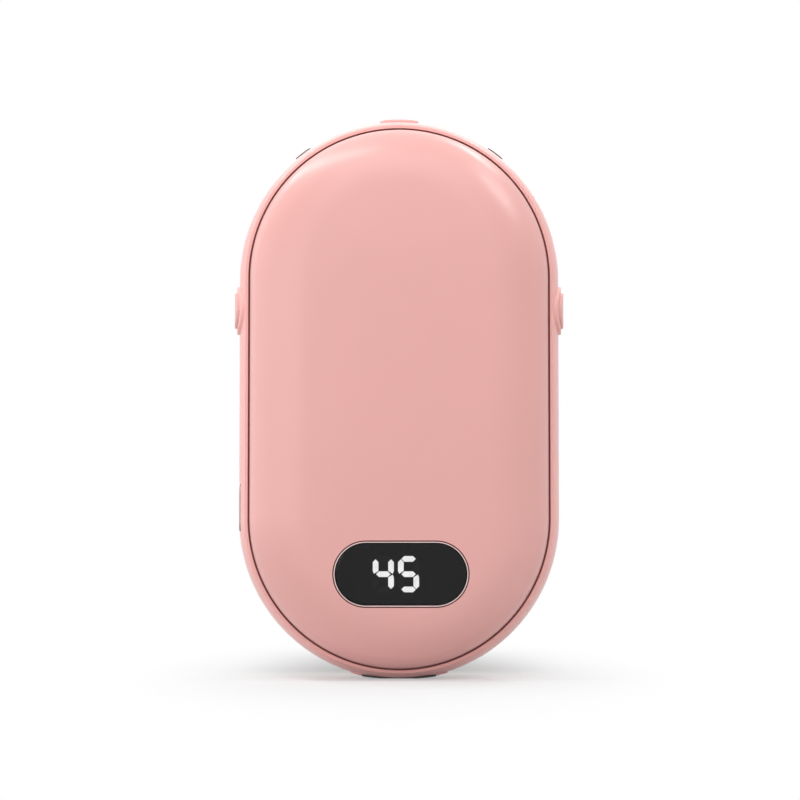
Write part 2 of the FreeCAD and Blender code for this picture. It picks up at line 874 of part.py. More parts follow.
light_holes = [
    light_slot(f"{side_name}_light_hole", side, size.fit_gap, rib_half_width - size.cut_overrun, through)
    for side_name, side in SIDES.items()
]
band_blank = fuse("band_blank", [ring] + collars)
node("side_band", cut("band_cut", band_blank, bores + [power_hole, socket_hole, foot_pocket] + light_holes))

# Power button: a pill-shaped pad on top, a flange that keeps it in, and the plunger that meets its switch
power_flange_reach = size.power_length / 2 + size.power_flange_rim
power_flange_top = root(squared(rib_half_width) - squared(power_flange_reach)) - size.press_gap
power_flange_low = power_flange_top - size.button_flange_thick
power_pad = slot(
    "power_pad",
    size.power_length,
    size.power_width,
    half_width + size.power_proud - power_flange_low,
    TURNS["up"],
    (ZERO, ZERO, high_centre + power_flange_low),
)
power_top = (high_centre + half_width + size.power_proud).value


def is_power_rim(edge):
    return edge.BoundBox.ZMin > power_top - size.cap_edge_round.value


power_round = rounded("power_round", power_pad, size.cap_edge_round, is_power_rim)
power_flange = slot(
    "power_flange",
    size.power_length + size.power_flange_rim * 2,
    size.power_width + size.power_flange_rim * 2,
    size.button_flange_thick,
    TURNS["up"],
    (ZERO, ZERO, high_centre + power_flange_low),
)
node("power_button_cap", fuse("power_cap_fuse", [power_round, power_flange]))
power_plunger_base = (ZERO, ZERO, high_centre + plunger_tip)
power_plunger_length = power_flange_low - plunger_tip
node("power_button_plunger", rod(
    "power_plunger_rod",
    power_plunger_base,
    size.plunger_radius,
    power_plunger_length,
    "up",
))

# Side buttons: a bulging cap in each collar, its flange behind the band's rib, and its plunger
for side_name, side in SIDES.items():
    label = f"{side_name}_cap"
    disc = bulged_disc(label, side, size.side_cap_radius, size.side_cap_proud, flange_inner)
    face_round = rounded(f"{label}_round", disc, size.cap_edge_round, is_outer_rim)
    flange_base = (flange_inner * side, ZERO, side_button_height)
    stop = rod(f"{label}_flange", flange_base, side_flange_radius, size.button_flange_thick, side_name)
    node(f"{side_name}_button_cap", fuse(f"{label}_fuse", [face_round, stop]))
    plunger_base = (plunger_tip * side, ZERO, side_button_height)
    node(f"{side_name}_button_plunger", rod(
        f"{side_name}_plunger_rod",
        plunger_base,
        size.plunger_radius,
        size.plunger_length,
        side_name,
    ))

# Switches on the flexible circuit, under their plungers
node("top_switch", block(
    "top_switch_block",
    (-half_switch, -half_switch, high_centre + flex_top),
    (size.switch_size, size.switch_size, size.switch_tall),
))
for side_name, side in SIDES.items():
    switch_low_x = flex_top if side > 0 else -switch_top
    node(f"{side_name}_switch", block(
        f"{side_name}_switch_block",
        (switch_low_x, -half_switch, side_button_height - half_switch),
        (size.switch_tall, size.switch_size, size.switch_size),
    ))

# Shoulder lights: smoked lenses through the band, each above its own lamp
for side_name, side in SIDES.items():
    lens_start = flex_top + size.led_tall + size.inner_gap
    lens_tall = half_width + size.light_lens_proud - lens_start
    lens = light_slot(f"{side_name}_light_lens", side, ZERO, lens_start, lens_tall)
    node(f"{side_name}_shoulder_lens", lens)


def shoulder_led(name, side):
    """A lamp that stands on the flexible circuit and points outwards at the shoulder light's angle."""
    lamp = doc.addObject("Part::Box", name)
    bind(lamp, "Length", size.led_length)
    bind(lamp, "Width", size.led_width)
    bind(lamp, "Height", size.led_tall)
    angle = size.light_angle * side
    back_x = sine(angle) * flex_top - cosine(angle) * (size.led_length / 2)
    back_z = high_centre + cosine(angle) * flex_top + sine(angle) * (size.led_length / 2)
    place(lamp, (back_x, -(size.led_width / 2), back_z), FreeCAD.Rotation(Y_AXIS, angle.value))
    return lamp


node("status_leds", group("led_group", [shoulder_led(f"{name}_led", side) for name, side in SIDES.items()]))


def arch(name, radius, wall, start, depth, left_low, right_low):
    """An upside-down U strip: half a ring round the upper arc's centre, and a leg on each side."""
    parts = []
    rear = (ZERO, start + depth, high_centre)
    for part_name, part_radius in (("outer", radius), ("inner", radius - wall)):
        half_disc = rod(f"{name}_{part_name}", rear, part_radius, depth, "front")
        half_disc.Angle = 2 * QUARTER
        parts.append(half_disc)
    pieces = [cut(f"{name}_ring", parts[0], parts[1:])]
    for side, low in ((-1, left_low), (1, right_low)):
        low_x = radius - wall if side > 0 else -radius
        pieces.append(block(f"{name}_leg_{side}", (low_x, start, low), (wall, depth, high_centre - low)))
    return fuse(name, pieces)


# Flexible circuit over the chassis arch, plugged into its connector on the main board
node("switch_flex", arch(
    "flex_arch",
    flex_top,
    size.flex_thick,
    -(size.flex_width / 2),
    size.flex_width,
    connector_top,
    side_button_height - half_switch - size.flex_end_margin,
))
node("flex_connector", block(
    "flex_connector_block",
    (-(arch_radius + size.flex_connector_width / 2), board_back, connector_low),
    (size.flex_connector_width, size.flex_width / 2 - board_back, size.flex_connector_tall),
))

# Charging socket: a pill-shaped metal shell, closed behind, with its tongue
socket_back = size.socket_depth - half_width
socket_shell = slot(
    "socket_shell",
    size.socket_width,
    size.socket_thick,
    size.socket_depth,
    TURNS["left"],
    (socket_back, ZERO, socket_height),
)
socket_mouth = slot(
    "socket_mouth",
    size.socket_width - size.socket_wall * 2,
    size.socket_thick - size.socket_wall * 2,
    size.socket_depth,
    TURNS["left"],
    (socket_back - size.socket_wall, ZERO, socket_height),
)
node("usb_c_shell", cut("socket_cut", socket_shell, [socket_mouth]))
node("usb_c_tongue", block(
    "tongue_block",
    (
        socket_back - size.socket_wall - size.tongue_length,
        -(size.tongue_thick / 2),
        socket_height - size.tongue_width / 2,
    ),
    (size.tongue_length, size.tongue_thick, size.tongue_width),
))

# Foot: a dark pad let into the band, flat underneath in the middle and sloping up to its ends
foot_body = doc.addObject("PartDesign::Body", "foot_body")
foot_sketch = flat_sketch(foot_body, "foot_outline")
foot_half = size.foot_length / 2
flat_half = size.foot_flat / 2
foot_corners = [
    (-flat_half, ZERO),
    (flat_half, ZERO),
    (foot_half, size.foot_end_rise),
    (foot_half, size.foot_thick),
    (-foot_half, size.foot_thick),
    (-foot_half, size.foot_end_rise),
]
foot_spots = [spot(x, z) for x, z in foot_corners]
foot_sketch.addGeometry([line(start, end) for start, end in zip(foot_spots, foot_spots[1:] + foot_spots[:1])])
for index in range(len(foot_corners)):
    link(foot_sketch, "Coincident", index, 2, (index + 1) % len(foot_corners), 1)
link(foot_sketch, "Vertical", 2)
link(foot_sketch, "Horizontal", 3)
link(foot_sketch, "Vertical", 4)
link(foot_sketch, "PointOnObject", 0, 1, -1)
link(foot_sketch, "PointOnObject", 0, 2, -1)
hold(foot_sketch, "DistanceX", (-1, 1, 0, 1), -flat_half)
hold(foot_sketch, "DistanceX", (-1, 1, 0, 2), flat_half)
hold(foot_sketch, "DistanceX", (-1, 1, 2, 2), foot_half)
hold(foot_sketch, "DistanceX", (-1, 1, 4, 1), -foot_half)
hold(foot_sketch, "DistanceY", (-1, 1, 2, 2), size.foot_thick)
for index in (1, 4):
    hold(foot_sketch, "DistanceY", (-1, 1, index, 2), size.foot_end_rise)
foot_pad = foot_body.newObject("PartDesign::Pad", "foot_pad")
foot_pad.Profile = foot_sketch
foot_pad.SideType = "Symmetric"
bind(foot_pad, "Length", size.foot_width)
place(foot_body, (ZERO, ZERO, ZERO), TURNS["front"])
foot_plan = slot(
    "foot_plan",
    size.foot_length,
    size.foot_width,
    size.foot_thick,
    TURNS["up"],
    (ZERO, ZERO, ZERO),
)
node("rubber_foot", common("foot_common", [foot_body, foot_plan]))

# Chassis: a plate across the body, an arch that backs the switches, and posts for the board
chassis_plate = slot(
    "chassis_plate",
    size.straight_height + chassis_half_width * 2,
    chassis_half_width * 2,
    size.chassis_thick,
    TURNS["front"],
    (ZERO, chassis_back, mid_height),
    upright=True,
)
arch_start = -(half_switch + size.arch_margin)
arch_foot = board_high + size.arch_foot_gap
chassis_arch = arch(
    "chassis_arch",
    arch_radius,
    size.arch_wall,
    arch_start,
    size.chassis_front - arch_start,
    arch_foot,
    arch_foot,
)
post_length = size.chassis_front - board_back
posts = [
    rod(f"post_{index}", (x, size.chassis_front, z), size.boss_radius, post_length, "front")
    for index, (x, z) in enumerate(BOARD_SCREWS)
]
post_hole_depth = size.screw_length - size.board_thick + size.fit_gap
post_holes = pilot_holes("post_hole", BOARD_SCREWS, board_back, post_hole_depth)
chassis_holes = pilot_holes("chassis_hole", CHASSIS_SCREWS, size.chassis_front, size.chassis_thick)
back_pins = [(size.back_heater_pin_spread * side, back_pin_height) for side in SIDES.values()]
pin_holes = [
    rod(
        f"pin_hole_{index}",
        (x, size.chassis_front, z),
        size.heater_pin_radius + size.fit_gap,
        size.chassis_thick,
        "back",
    )
    for index, (x, z) in enumerate(back_pins)
]
chassis_blank = fuse("chassis_blank", [chassis_plate, chassis_arch] + posts)
node("chassis", cut("chassis_cut", chassis_blank, post_holes + chassis_holes + pin_holes))
screw_set("chassis_screws", CHASSIS_SCREWS, size.chassis_front)

# Main board with a tab that carries the charging socket, and its parts
board_main = block(
    "board_main",
    (-half_board, board_front, board_low),
    (half_board * 2, size.board_thick, board_high - board_low),
)
tab_low = socket_height - size.socket_width / 2 - size.board_tab_margin
tab_reach = rib_half_width - size.inner_gap
board_tab = block(
    "board_tab",
    (-tab_reach, board_front, tab_low),
    (tab_reach - half_board, size.board_thick, board_high - tab_low),
)
board_holes = pilot_holes("board_hole", BOARD_SCREWS, board_front, size.board_thick)
node("main_board", cut("board_cut", fuse("board_blank", [board_main, board_tab]), board_holes))
screw_set("board_screws", BOARD_SCREWS, board_front)

node("controller_chip", block(
    "chip_block",
    (size.chip_pin_gap - front_pin_inner, board_front - size.chip_tall, component_height - half_chip),
    (size.chip_size, size.chip_tall, size.chip_size),
))
node("power_inductor", rod(
    "coil_rod",
    (front_pin_inner - size.coil_pin_gap - size.coil_radius, board_front, component_height),
    size.coil_radius,
    size.coil_tall,
    "front",
))
capacitors = []
capacitor_low = board_high - size.capacitor_drop
for index in range(CAPACITOR_COUNT):
    middle_x = size.capacitor_pitch * (index - (CAPACITOR_COUNT - 1) / 2)
    capacitors.append(block(
        f"capacitor_{index}",
        (middle_x - size.capacitor_width / 2, board_front - size.capacitor_width, capacitor_low),
        (size.capacitor_width, size.capacitor_width, size.capacitor_length),
    ))
node("capacitors", group("capacitor_group", capacitors))

# Battery pouch against the chassis, its guard board, and the strips and leads that join them to the board
battery_block = block(
    "battery_block",
    (-battery_half_width, battery_front, battery_low),
    (battery_half_width * 2, size.chassis_front - battery_front, battery_high - battery_low),
)
node("battery_cell", rounded("battery_round_edges", battery_block, size.battery_round, lambda edge: True))
guard_reach = board_screw_x - size.boss_radius - size.inner_gap * 2
node("battery_guard_board", block(
    "guard_block",
    (-guard_reach, size.guard_front, guard_low),
    (guard_reach * 2, size.guard_thick, size.guard_tall),
))
tab_front = size.guard_front + size.guard_thick / 2 - size.tab_thick / 2
tabs = [
    block(
        f"tab_{side_name}",
        (size.tab_spread * side - size.tab_width / 2, tab_front, guard_top),
        (size.tab_width, size.tab_thick, size.tab_length),
    )
    for side_name, side in SIDES.items()
]
node("battery_tabs", group("tab_group", tabs))
leads = [
    rod(
        f"lead_{side_name}",
        (size.lead_spread * side, board_back, guard_low + size.guard_overlap / 2),
        size.lead_radius,
        size.guard_front - board_back,
        "back",
    )
    for side_name, side in SIDES.items()
]
node("battery_leads", group("lead_group", leads))


# Heating layers: a plate against each shell, its heating film, and foam that presses them out
def tombstone(name, half_span, low, start, thick):
    """A flat sheet with a square lower end and a round upper end."""
    sheet_block = block(f"{name}_square", (-half_span, start, low), (half_span * 2, thick, high_centre - low))
    round_end = rod(f"{name}_round", (ZERO, start + thick, high_centre), half_span, thick, "front")
    round_end.Angle = 2 * QUARTER
    return fuse(name, [sheet_block, round_end])


node("front_heat_plate", tombstone(
    "front_plate_sheet",
    heat_half_width,
    front_heat_low,
    -inner_face,
    size.heat_plate_thick,
))
node("front_heater_film", tombstone(
    "front_film_sheet",
    film_half_width,
    front_heat_low + size.film_margin,
    -plate_depth,
    size.heat_film_thick,
))
node("front_insulation_pad", tombstone(
    "front_pad_sheet",
    film_half_width,
    front_pad_low,
    -film_depth,
    size.front_pad_thick,
))
node("back_heat_plate", slot(
    "back_plate_sheet",
    size.straight_height + heat_half_width * 2,
    heat_half_width * 2,
    size.heat_plate_thick,
    TURNS["front"],
    (ZERO, inner_face, mid_height),
    upright=True,
))
node("back_heater_film", slot(
    "back_film_sheet",
    size.straight_height + film_half_width * 2,
    film_half_width * 2,
    size.heat_film_thick,
    TURNS["front"],
    (ZERO, plate_depth, mid_height),
    upright=True,
))
node("back_insulation_pad", tombstone(
    "back_pad_sheet",
    film_half_width,
    back_pad_low,
    chassis_back,
    film_depth - chassis_back,
))
front_pins = [
    rod(
        f"front_pin_{side_name}",
        (front_pin_x * side, board_front, front_pin_height),
        size.heater_pin_radius,
        film_depth + board_front,
        "front",
    )
    for side_name, side in SIDES.items()
]
node("front_heater_pins", group("front_pin_group", front_pins))
rear_pins = [
    rod(f"rear_pin_{index}", (x, board_back, z), size.heater_pin_radius, film_depth - board_back, "back")
    for index, (x, z) in enumerate(back_pins)
]
node("back_heater_pins", group("rear_pin_group", rear_pins))

# Temperature bead on the front film, with two leads back to the board
node("thermistor", block(
    "bead_block",
    (-(size.bead_length / 2), -film_depth, front_pin_height - size.bead_thick / 2),
    (size.bead_length, size.bead_thick, size.bead_thick),
))
bead_leads = [
    rod(
        f"bead_lead_{side_name}",
        (size.bead_lead_spread * side, size.bead_thick - film_depth, front_pin_height),
        size.bead_lead_radius,
        film_depth + board_front - size.bead_thick,
        "back",
    )
    for side_name, side in SIDES.items()
]
node("thermistor_leads", group("bead_lead_group", bead_leads))

doc.recompute()

# Every object must be sound before anything is written
for item in doc.Objects:
    faults = [state for state in item.State if state in ("Invalid", "Error")]
    if faults:
        raise RuntimeError(f"{item.Name} is {faults}")
for piece in nodes:
    if piece.Shape.isNull() or not piece.Shape.isValid():
        raise RuntimeError(f"{piece.Label} has no sound shape")
    if not piece.Shape.Solids:
        raise RuntimeError(f"{piece.Label} holds no solid")

os.makedirs("parts", exist_ok=True)
for piece in nodes:
    piece.Shape.exportStep(f"parts/{piece.Label}.step")
    print(piece.Label, len(piece.Shape.Solids), "solids", round(piece.Shape.Volume, 3), "mm3")
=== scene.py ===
# %% [markdown]
# # A pink pill-shaped hand warmer
# The real object is a pocket warmer: two soft-touch shells, a band between them, a smoked display window,
# three push buttons, two shoulder lights, a charging socket and a small foot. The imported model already
# holds every piece at its real size. This lesson models the outside again, finely enough for close views,
# and gives each surface its finish.

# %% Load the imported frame
import json
import math

import bpy
from mathutils import Matrix, Vector


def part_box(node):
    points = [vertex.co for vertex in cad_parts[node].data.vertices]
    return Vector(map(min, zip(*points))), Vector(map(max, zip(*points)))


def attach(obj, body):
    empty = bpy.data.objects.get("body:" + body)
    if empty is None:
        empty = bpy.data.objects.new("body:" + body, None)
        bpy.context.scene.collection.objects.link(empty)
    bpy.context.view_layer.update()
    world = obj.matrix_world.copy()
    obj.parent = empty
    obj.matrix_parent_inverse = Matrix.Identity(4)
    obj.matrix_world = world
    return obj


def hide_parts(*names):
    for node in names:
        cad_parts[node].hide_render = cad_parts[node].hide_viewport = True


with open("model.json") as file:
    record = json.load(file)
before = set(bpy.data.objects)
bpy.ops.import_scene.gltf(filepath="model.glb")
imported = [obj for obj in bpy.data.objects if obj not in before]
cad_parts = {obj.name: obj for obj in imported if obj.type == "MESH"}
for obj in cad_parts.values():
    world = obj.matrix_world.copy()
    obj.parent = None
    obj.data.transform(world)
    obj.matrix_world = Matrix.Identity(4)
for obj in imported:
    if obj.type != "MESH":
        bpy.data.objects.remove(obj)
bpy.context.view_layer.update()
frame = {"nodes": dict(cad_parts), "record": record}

MM = 0.001

# %% [markdown]
# ## Sizes
# Sizes are in millimetres and are turned into metres only where a mesh is drawn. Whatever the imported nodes
# can tell is read from their boxes. A box hides a rounding or a wall, so those few are written down here.

# %% Sizes of the body
STRAIGHT = 44.8
CROWN_RADIUS = 300
SHELL_EDGE_RADIUS = 8.3
SHELL_WALL = 1.6
FACE_WALL = 2.1
LIP_FACE = 0.53
LIP_CHAMFER = 0.08
BULGE_RADIUS = 10
RIB_STEP = 0.1
FIT_GAP = 0.05
SLIDE_GAP = 0.15


def node_box(node):
    """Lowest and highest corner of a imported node, in millimetres."""
    return [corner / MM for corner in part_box(node)]


shell_low, shell_high = node_box("front_shell")
socket_low, socket_high = node_box("usb_c_shell")
face = -shell_low.y
seat = -shell_high.y
shell_outer = shell_high.x
half_width = -socket_low.x
lip = node_box("side_band")[1].y
mid_height = (shell_low.z + shell_high.z) / 2
half_straight = STRAIGHT / 2
high_centre = mid_height + half_straight
low_centre = mid_height - half_straight
bulge_centre = half_width - BULGE_RADIUS
rib_inner = shell_outer - SHELL_WALL - RIB_STEP
print("half width", half_width, "face", face, "arc centres", round(low_centre, 3), round(high_centre, 3))

# %% [markdown]
# ## Drawing a pill
# Nearly every piece here has a pill outline: two half circles joined by straight runs. On the real product
# each is a moulding with the same section all the way round. So one helper draws a section with extrude and
# spin, as you would by hand: extruding a point draws a line, and spinning it draws an arc. The finished
# section is spun half a turn, run straight, spun again and run back. A Boolean of blocks and cylinders would
# give the shape too, but its faces would be long slivers that spoil soft reflections.

# %% Helpers that draw a section and take it round a pill
MERGE_DISTANCE = 0.002
QUARTER = math.pi / 2
ALONG_X = (1, 0, 0)
ALONG_Z = (0, 0, 1)


def name_new(name):
    """Name the piece that was just made, and its mesh."""
    piece = bpy.context.object
    piece.name = name
    piece.data.name = name
    return piece


def section_point(reach, spot):
    """Where a spot of the section, out from the middle line and up, lies in the mesh."""
    return Vector((reach, -spot.x, spot.y)) * MM


def draw_section(reach, start, steps):
    """Draw lines to spots, (out, up) or (out, up, count), and arcs about spots, (out, up, count, turn)."""
    here = Vector(start)
    bpy.ops.transform.translate(value=section_point(reach, here))
    for out, up, *details in steps:
        goal = Vector((out, up))
        count = details[0] if details else 1
        if len(details) == 2:
            turn = -details[1]
            bpy.ops.mesh.spin(steps=count, angle=turn, center=section_point(reach, goal), axis=ALONG_X)
            here = goal + Matrix.Rotation(turn, 2) @ (here - goal)
            continue
        move = (section_point(reach, goal) - section_point(reach, here)) / count
        for _ in range(count):
            bpy.ops.mesh.extrude_region_move(TRANSFORM_OT_translate={"value": move})
        here = goal


def sweep_section(reach, turn_steps, run_steps):
    """Take the drawn section round the pill: half a turn and a straight run, twice."""
    bpy.ops.mesh.select_all(action="SELECT")
    for end in (1, -1):
        centre = Vector((reach * end, 0, 0)) * MM
        bpy.ops.mesh.spin(steps=turn_steps, angle=-math.pi, center=centre, axis=ALONG_Z)
        for _ in range(run_steps if reach else 0):
            move = Vector((-2 * reach * end / run_steps, 0, 0)) * MM
            bpy.ops.mesh.extrude_region_move(TRANSFORM_OT_translate={"value": move})


def close_mesh():
    """Merge the seams, point every face outwards and leave edit mode."""
    bpy.ops.mesh.select_all(action="SELECT")
    bpy.ops.mesh.remove_doubles(threshold=MERGE_DISTANCE * MM)
    bpy.ops.mesh.normals_make_consistent(inside=False)
    bpy.ops.object.mode_set(mode="OBJECT")


def pill(name, reach, start, steps, turn_steps=48, run_steps=12):
    """A pill-shaped piece about the origin, long along X and facing Z, drawn from a plane merged to a point."""
    bpy.ops.object.select_all(action="DESELECT")
    bpy.ops.mesh.primitive_plane_add(size=MM)
    piece = name_new(name)
    bpy.ops.object.mode_set(mode="EDIT")
    bpy.ops.mesh.merge(type="CENTER")
    draw_section(reach, start, steps)
    sweep_section(reach, turn_steps, run_steps)
    close_mesh()
    return piece


print("seams are merged where points lie within", MERGE_DISTANCE, "mm")

# %% [markdown]
# ## Front and back shells
# Each shell is a thin moulding with a slightly crowned face that rolls over a soft shoulder into the parting
# groove. The section starts on the middle line and follows three arcs that flow into each other: a very large
# one for the crown, a middle one for the shoulder and a small one for the edge. A single edge arc would end
# in a visible line of light on the face. A piece's place is applied, so its object stays at the origin.

# %% The two shells
SHOULDER_RADIUS = 14
EDGE_RADIUS = 6.5
SHOULDER_TURN = math.radians(42)
ROLL_STEPS = 18
INNER_ROLL_STEPS = 10
INNER_FACE_STEPS = 8
FRONT = (0, -1, 0)
BACK = (0, 1, 0)
crown_centre = face - CROWN_RADIUS
shoulder_out = SHOULDER_RADIUS * math.sin(SHOULDER_TURN) + EDGE_RADIUS * (1 - math.sin(SHOULDER_TURN))
crown_to_shoulder = CROWN_RADIUS - SHOULDER_RADIUS
crown_turn = math.asin((shell_outer - shoulder_out) / crown_to_shoulder)
shoulder_reach = crown_to_shoulder * math.sin(crown_turn)
shoulder_depth = crown_centre + crown_to_shoulder * math.cos(crown_turn)
shoulder_to_edge = SHOULDER_RADIUS - EDGE_RADIUS
edge_reach = shoulder_reach + shoulder_to_edge * math.sin(SHOULDER_TURN)
edge_depth = shoulder_depth + shoulder_to_edge * math.cos(SHOULDER_TURN)
wall_inner = shell_outer - SHELL_WALL
inner_face = face - FACE_WALL
inner_radius = SHELL_EDGE_RADIUS - SHELL_WALL


def pick_only(piece):
    """Select one piece and make it the active one."""
    bpy.ops.object.select_all(action="DESELECT")
    piece.select_set(True)
    bpy.context.view_layer.objects.active = piece


def place(piece, along, outward, middle):
    """Turn a piece so that X runs along and Z points outward, move it, and put its place in its mesh."""
    along = Vector(along)
    outward = Vector(outward)
    turn = Matrix((along, outward.cross(along), outward)).transposed().to_4x4()
    piece.matrix_world = Matrix.Translation(Vector(middle) * MM) @ turn
    pick_only(piece)
    bpy.ops.object.transform_apply(location=True, rotation=True, scale=True)
    return piece


def shell(name, outward):
    """One shell, with its crown towards the front or the back."""
    steps = [
        (0, crown_centre, ROLL_STEPS, crown_turn),
        (shoulder_reach, shoulder_depth, ROLL_STEPS, SHOULDER_TURN - crown_turn),
        (edge_reach, edge_depth, ROLL_STEPS, QUARTER - SHOULDER_TURN),
        (shell_outer, seat),
        (wall_inner, seat),
        (wall_inner, inner_face - inner_radius),
        (wall_inner - inner_radius, inner_face - inner_radius, INNER_ROLL_STEPS, -QUARTER),
        (0, inner_face, INNER_FACE_STEPS),
    ]
    piece = pill(name, half_straight, (0, face), steps, turn_steps=96, run_steps=40)
    return place(piece, ALONG_Z, outward, (0, 0, mid_height))


front_shell = shell("front_shell_moulding", FRONT)
back_shell = shell("back_shell_moulding", BACK)
print("points on each shell:", len(front_shell.data.vertices), len(back_shell.data.vertices))

# %% [markdown]
# Inside the back shell, four hollow pegs take the chassis screws. They are small turned shapes, so each is a
# section spun right round, copied to a screw's place and joined with a Boolean. The finished shell is shaded
# smooth and hung on the body that carries it, its finish is noted, and the imported node it stands for is
# hidden.

# %% Helpers that copy, join and hand over
SMOOTH_ANGLE = math.radians(32)
dressed = []


def copy_of(piece, name):
    """A second piece with a mesh of its own."""
    pick_only(piece)
    bpy.ops.object.duplicate()
    return name_new(name)


def combine(piece, tool, operation):
    """Add a tool to a piece, or cut it out, with an applied Boolean."""
    pick_only(piece)
    modifier = piece.modifiers.new(operation.lower(), "BOOLEAN")
    modifier.operation = operation
    modifier.solver = "EXACT"
    modifier.object = tool
    bpy.ops.object.modifier_apply(modifier=modifier.name)
    bpy.data.objects.remove(tool)


def hand_over(piece, slot, *nodes, body="warmer"):
    """Smooth a finished piece, hang it on its body, note its finish and hide the nodes it stands for."""
    pick_only(piece)
    bpy.ops.object.shade_smooth_by_angle(angle=SMOOTH_ANGLE)
    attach(piece, body)
    dressed.append((piece, slot))
    if nodes:
        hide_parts(*nodes)
    size = [round(length / MM, 2) for length in piece.dimensions]
    print(piece.name, "faces:", len(piece.data.polygons), "size in mm:", size)


print("edges sharper than", round(math.degrees(SMOOTH_ANGLE)), "degrees stay sharp")

# %% Screw pegs inside the back shell
PEG_RADIUS = 1.8
PEG_HOLE_RADIUS = 0.95
PEG_HOLE_DEPTH = 3.95
SCREW_HEAD_RADIUS = 1.4
PEG_OVERLAP = 0.3
peg_foot = node_box("chassis")[1].y
peg_root = peg_foot - inner_face - PEG_OVERLAP
screw_low, screw_high = node_box("chassis_screws")

peg_steps = [
    (PEG_HOLE_RADIUS, -PEG_HOLE_DEPTH),
    (PEG_HOLE_RADIUS, 0),
    (PEG_RADIUS, 0),
    (PEG_RADIUS, peg_root),
    (0, peg_root),
]
first_peg = pill("screw_peg", 0, (0, -PEG_HOLE_DEPTH), peg_steps, turn_steps=16)
for x in (screw_low.x + SCREW_HEAD_RADIUS, screw_high.x - SCREW_HEAD_RADIUS):
    for z in (screw_low.z + SCREW_HEAD_RADIUS, screw_high.z - SCREW_HEAD_RADIUS):
        peg = copy_of(first_peg, "screw_peg_copy")
        place(peg, ALONG_X, FRONT, (x, peg_foot, z))
        combine(back_shell, peg, "UNION")
bpy.data.objects.remove(first_peg)
hand_over(back_shell, "pink_shell", "back_shell")

# %% [markdown]
# ## Display window
# A thin rim is let into the front shell round a smoked window. Opening, rim and window all follow the crown,
# so each is drawn flat and its front points are then lowered by the crown's fall, which is known exactly. The
# tool that cuts the opening flares where it leaves the surface, which gives the hole its small broken edge.

# %% Opening in the front shell
RIM_WIDTH = 0.35
FLARE = 0.03
CUT_OVERRUN = 1
lens_low, lens_high = node_box("display_lens")
display_x = (lens_low.x + lens_high.x) / 2
display_z = (lens_low.z + lens_high.z) / 2
lens_radius = (lens_high.z - lens_low.z) / 2
display_reach = (lens_high.x - lens_low.x) / 2 - lens_radius
rim_inner = lens_radius + FIT_GAP
rim_outer = rim_inner + RIM_WIDTH
opening_radius = rim_outer + FIT_GAP
opening_floor = inner_face - CUT_OVERRUN


def hole_steps(radius, floor, top, flare):
    """Steps of a cutting tool that starts at the middle of its floor."""
    return [
        (radius, floor),
        (radius, top - flare),
        (radius + flare, top),
        (radius + flare + CUT_OVERRUN, top + CUT_OVERRUN),
        (0, top + CUT_OVERRUN),
    ]


def face_fall(x, z):
    """How far crown and shoulder have fallen back from the highest line at a place on the front."""
    past_end = max(abs(z - mid_height) - half_straight, 0)
    from_middle = math.hypot(x, past_end)
    if from_middle < CROWN_RADIUS * math.sin(crown_turn):
        return CROWN_RADIUS - math.sqrt(CROWN_RADIUS ** 2 - from_middle ** 2)
    return face - shoulder_depth - math.sqrt(SHOULDER_RADIUS ** 2 - (from_middle - shoulder_reach) ** 2)


def place_on_face(piece, crowned_above):
    """Set a display piece in the front face, and let its front points follow the crown."""
    place(piece, ALONG_X, FRONT, (display_x, 0, display_z))
    for vertex in piece.data.vertices:
        if -vertex.co.y > crowned_above * MM:
            vertex.co.y += face_fall(vertex.co.x / MM, vertex.co.z / MM) * MM


opening_steps = hole_steps(opening_radius, opening_floor, face, FLARE)
opening = pill("display_opening", display_reach, (0, opening_floor), opening_steps)
place_on_face(opening, inner_face)
combine(front_shell, opening, "DIFFERENCE")
hand_over(front_shell, "pink_shell", "front_shell")

# %% [markdown]
# The rim is a moulded frame, held by a wide flange behind the shell. A narrow step round it leaves a gap to the
# shell: the thin dark line on the real product. Drawn in the section, it is a true gap, also from close by.

# %% Rim with its hidden flange
SHADOW_GAP = 0.14
SHADOW_GAP_DEPTH = 1.3
RIM_ROUND = 0.05
SMALL_ROUND_STEPS = 4
FLANGE_WIDTH = 1.09
FLANGE_THICK = 0.6
rim_top = rim_outer - SHADOW_GAP
flange_back = inner_face - FLANGE_THICK
rim_start = (rim_inner, face - RIM_ROUND)
rim_steps = [
    (rim_inner + RIM_ROUND, face - RIM_ROUND, SMALL_ROUND_STEPS, QUARTER),
    (rim_top - RIM_ROUND, face),
    (rim_top - RIM_ROUND, face - RIM_ROUND, SMALL_ROUND_STEPS, QUARTER),
    (rim_top, face - SHADOW_GAP_DEPTH),
    (rim_outer, face - SHADOW_GAP_DEPTH),
    (rim_outer, inner_face),
    (rim_outer + FLANGE_WIDTH, inner_face),
    (rim_outer + FLANGE_WIDTH, flange_back),
    (rim_inner, flange_back),
    rim_start,
]
rim = pill("display_rim", display_reach, rim_start, rim_steps, turn_steps=64, run_steps=16)
place_on_face(rim, inner_face + RIM_ROUND)
hand_over(rim, "bezel_pink", "display_bezel")

# %% [markdown]
# The window is a smoked pane that lies a little lower than its rim: a pad with a rounded edge, and a closed
# solid, because light has to go in through its front and out through its back.

# %% Smoked window
LENS_RECESS = 0.12
LENS_ROUND = 0.1
LENS_SEAM = 0.08
lens_face = face - LENS_RECESS
lens_back = -lens_high.y


def pad_steps(radius, top, rounding, root, across, bend, down=1):
    """Steps of a pad that starts at the middle of its face; across, bend and down count its parts."""
    return [
        (radius - rounding, top, across),
        (radius - rounding, top - rounding, bend, QUARTER),
        (radius, root, down),
        (0, root),
    ]


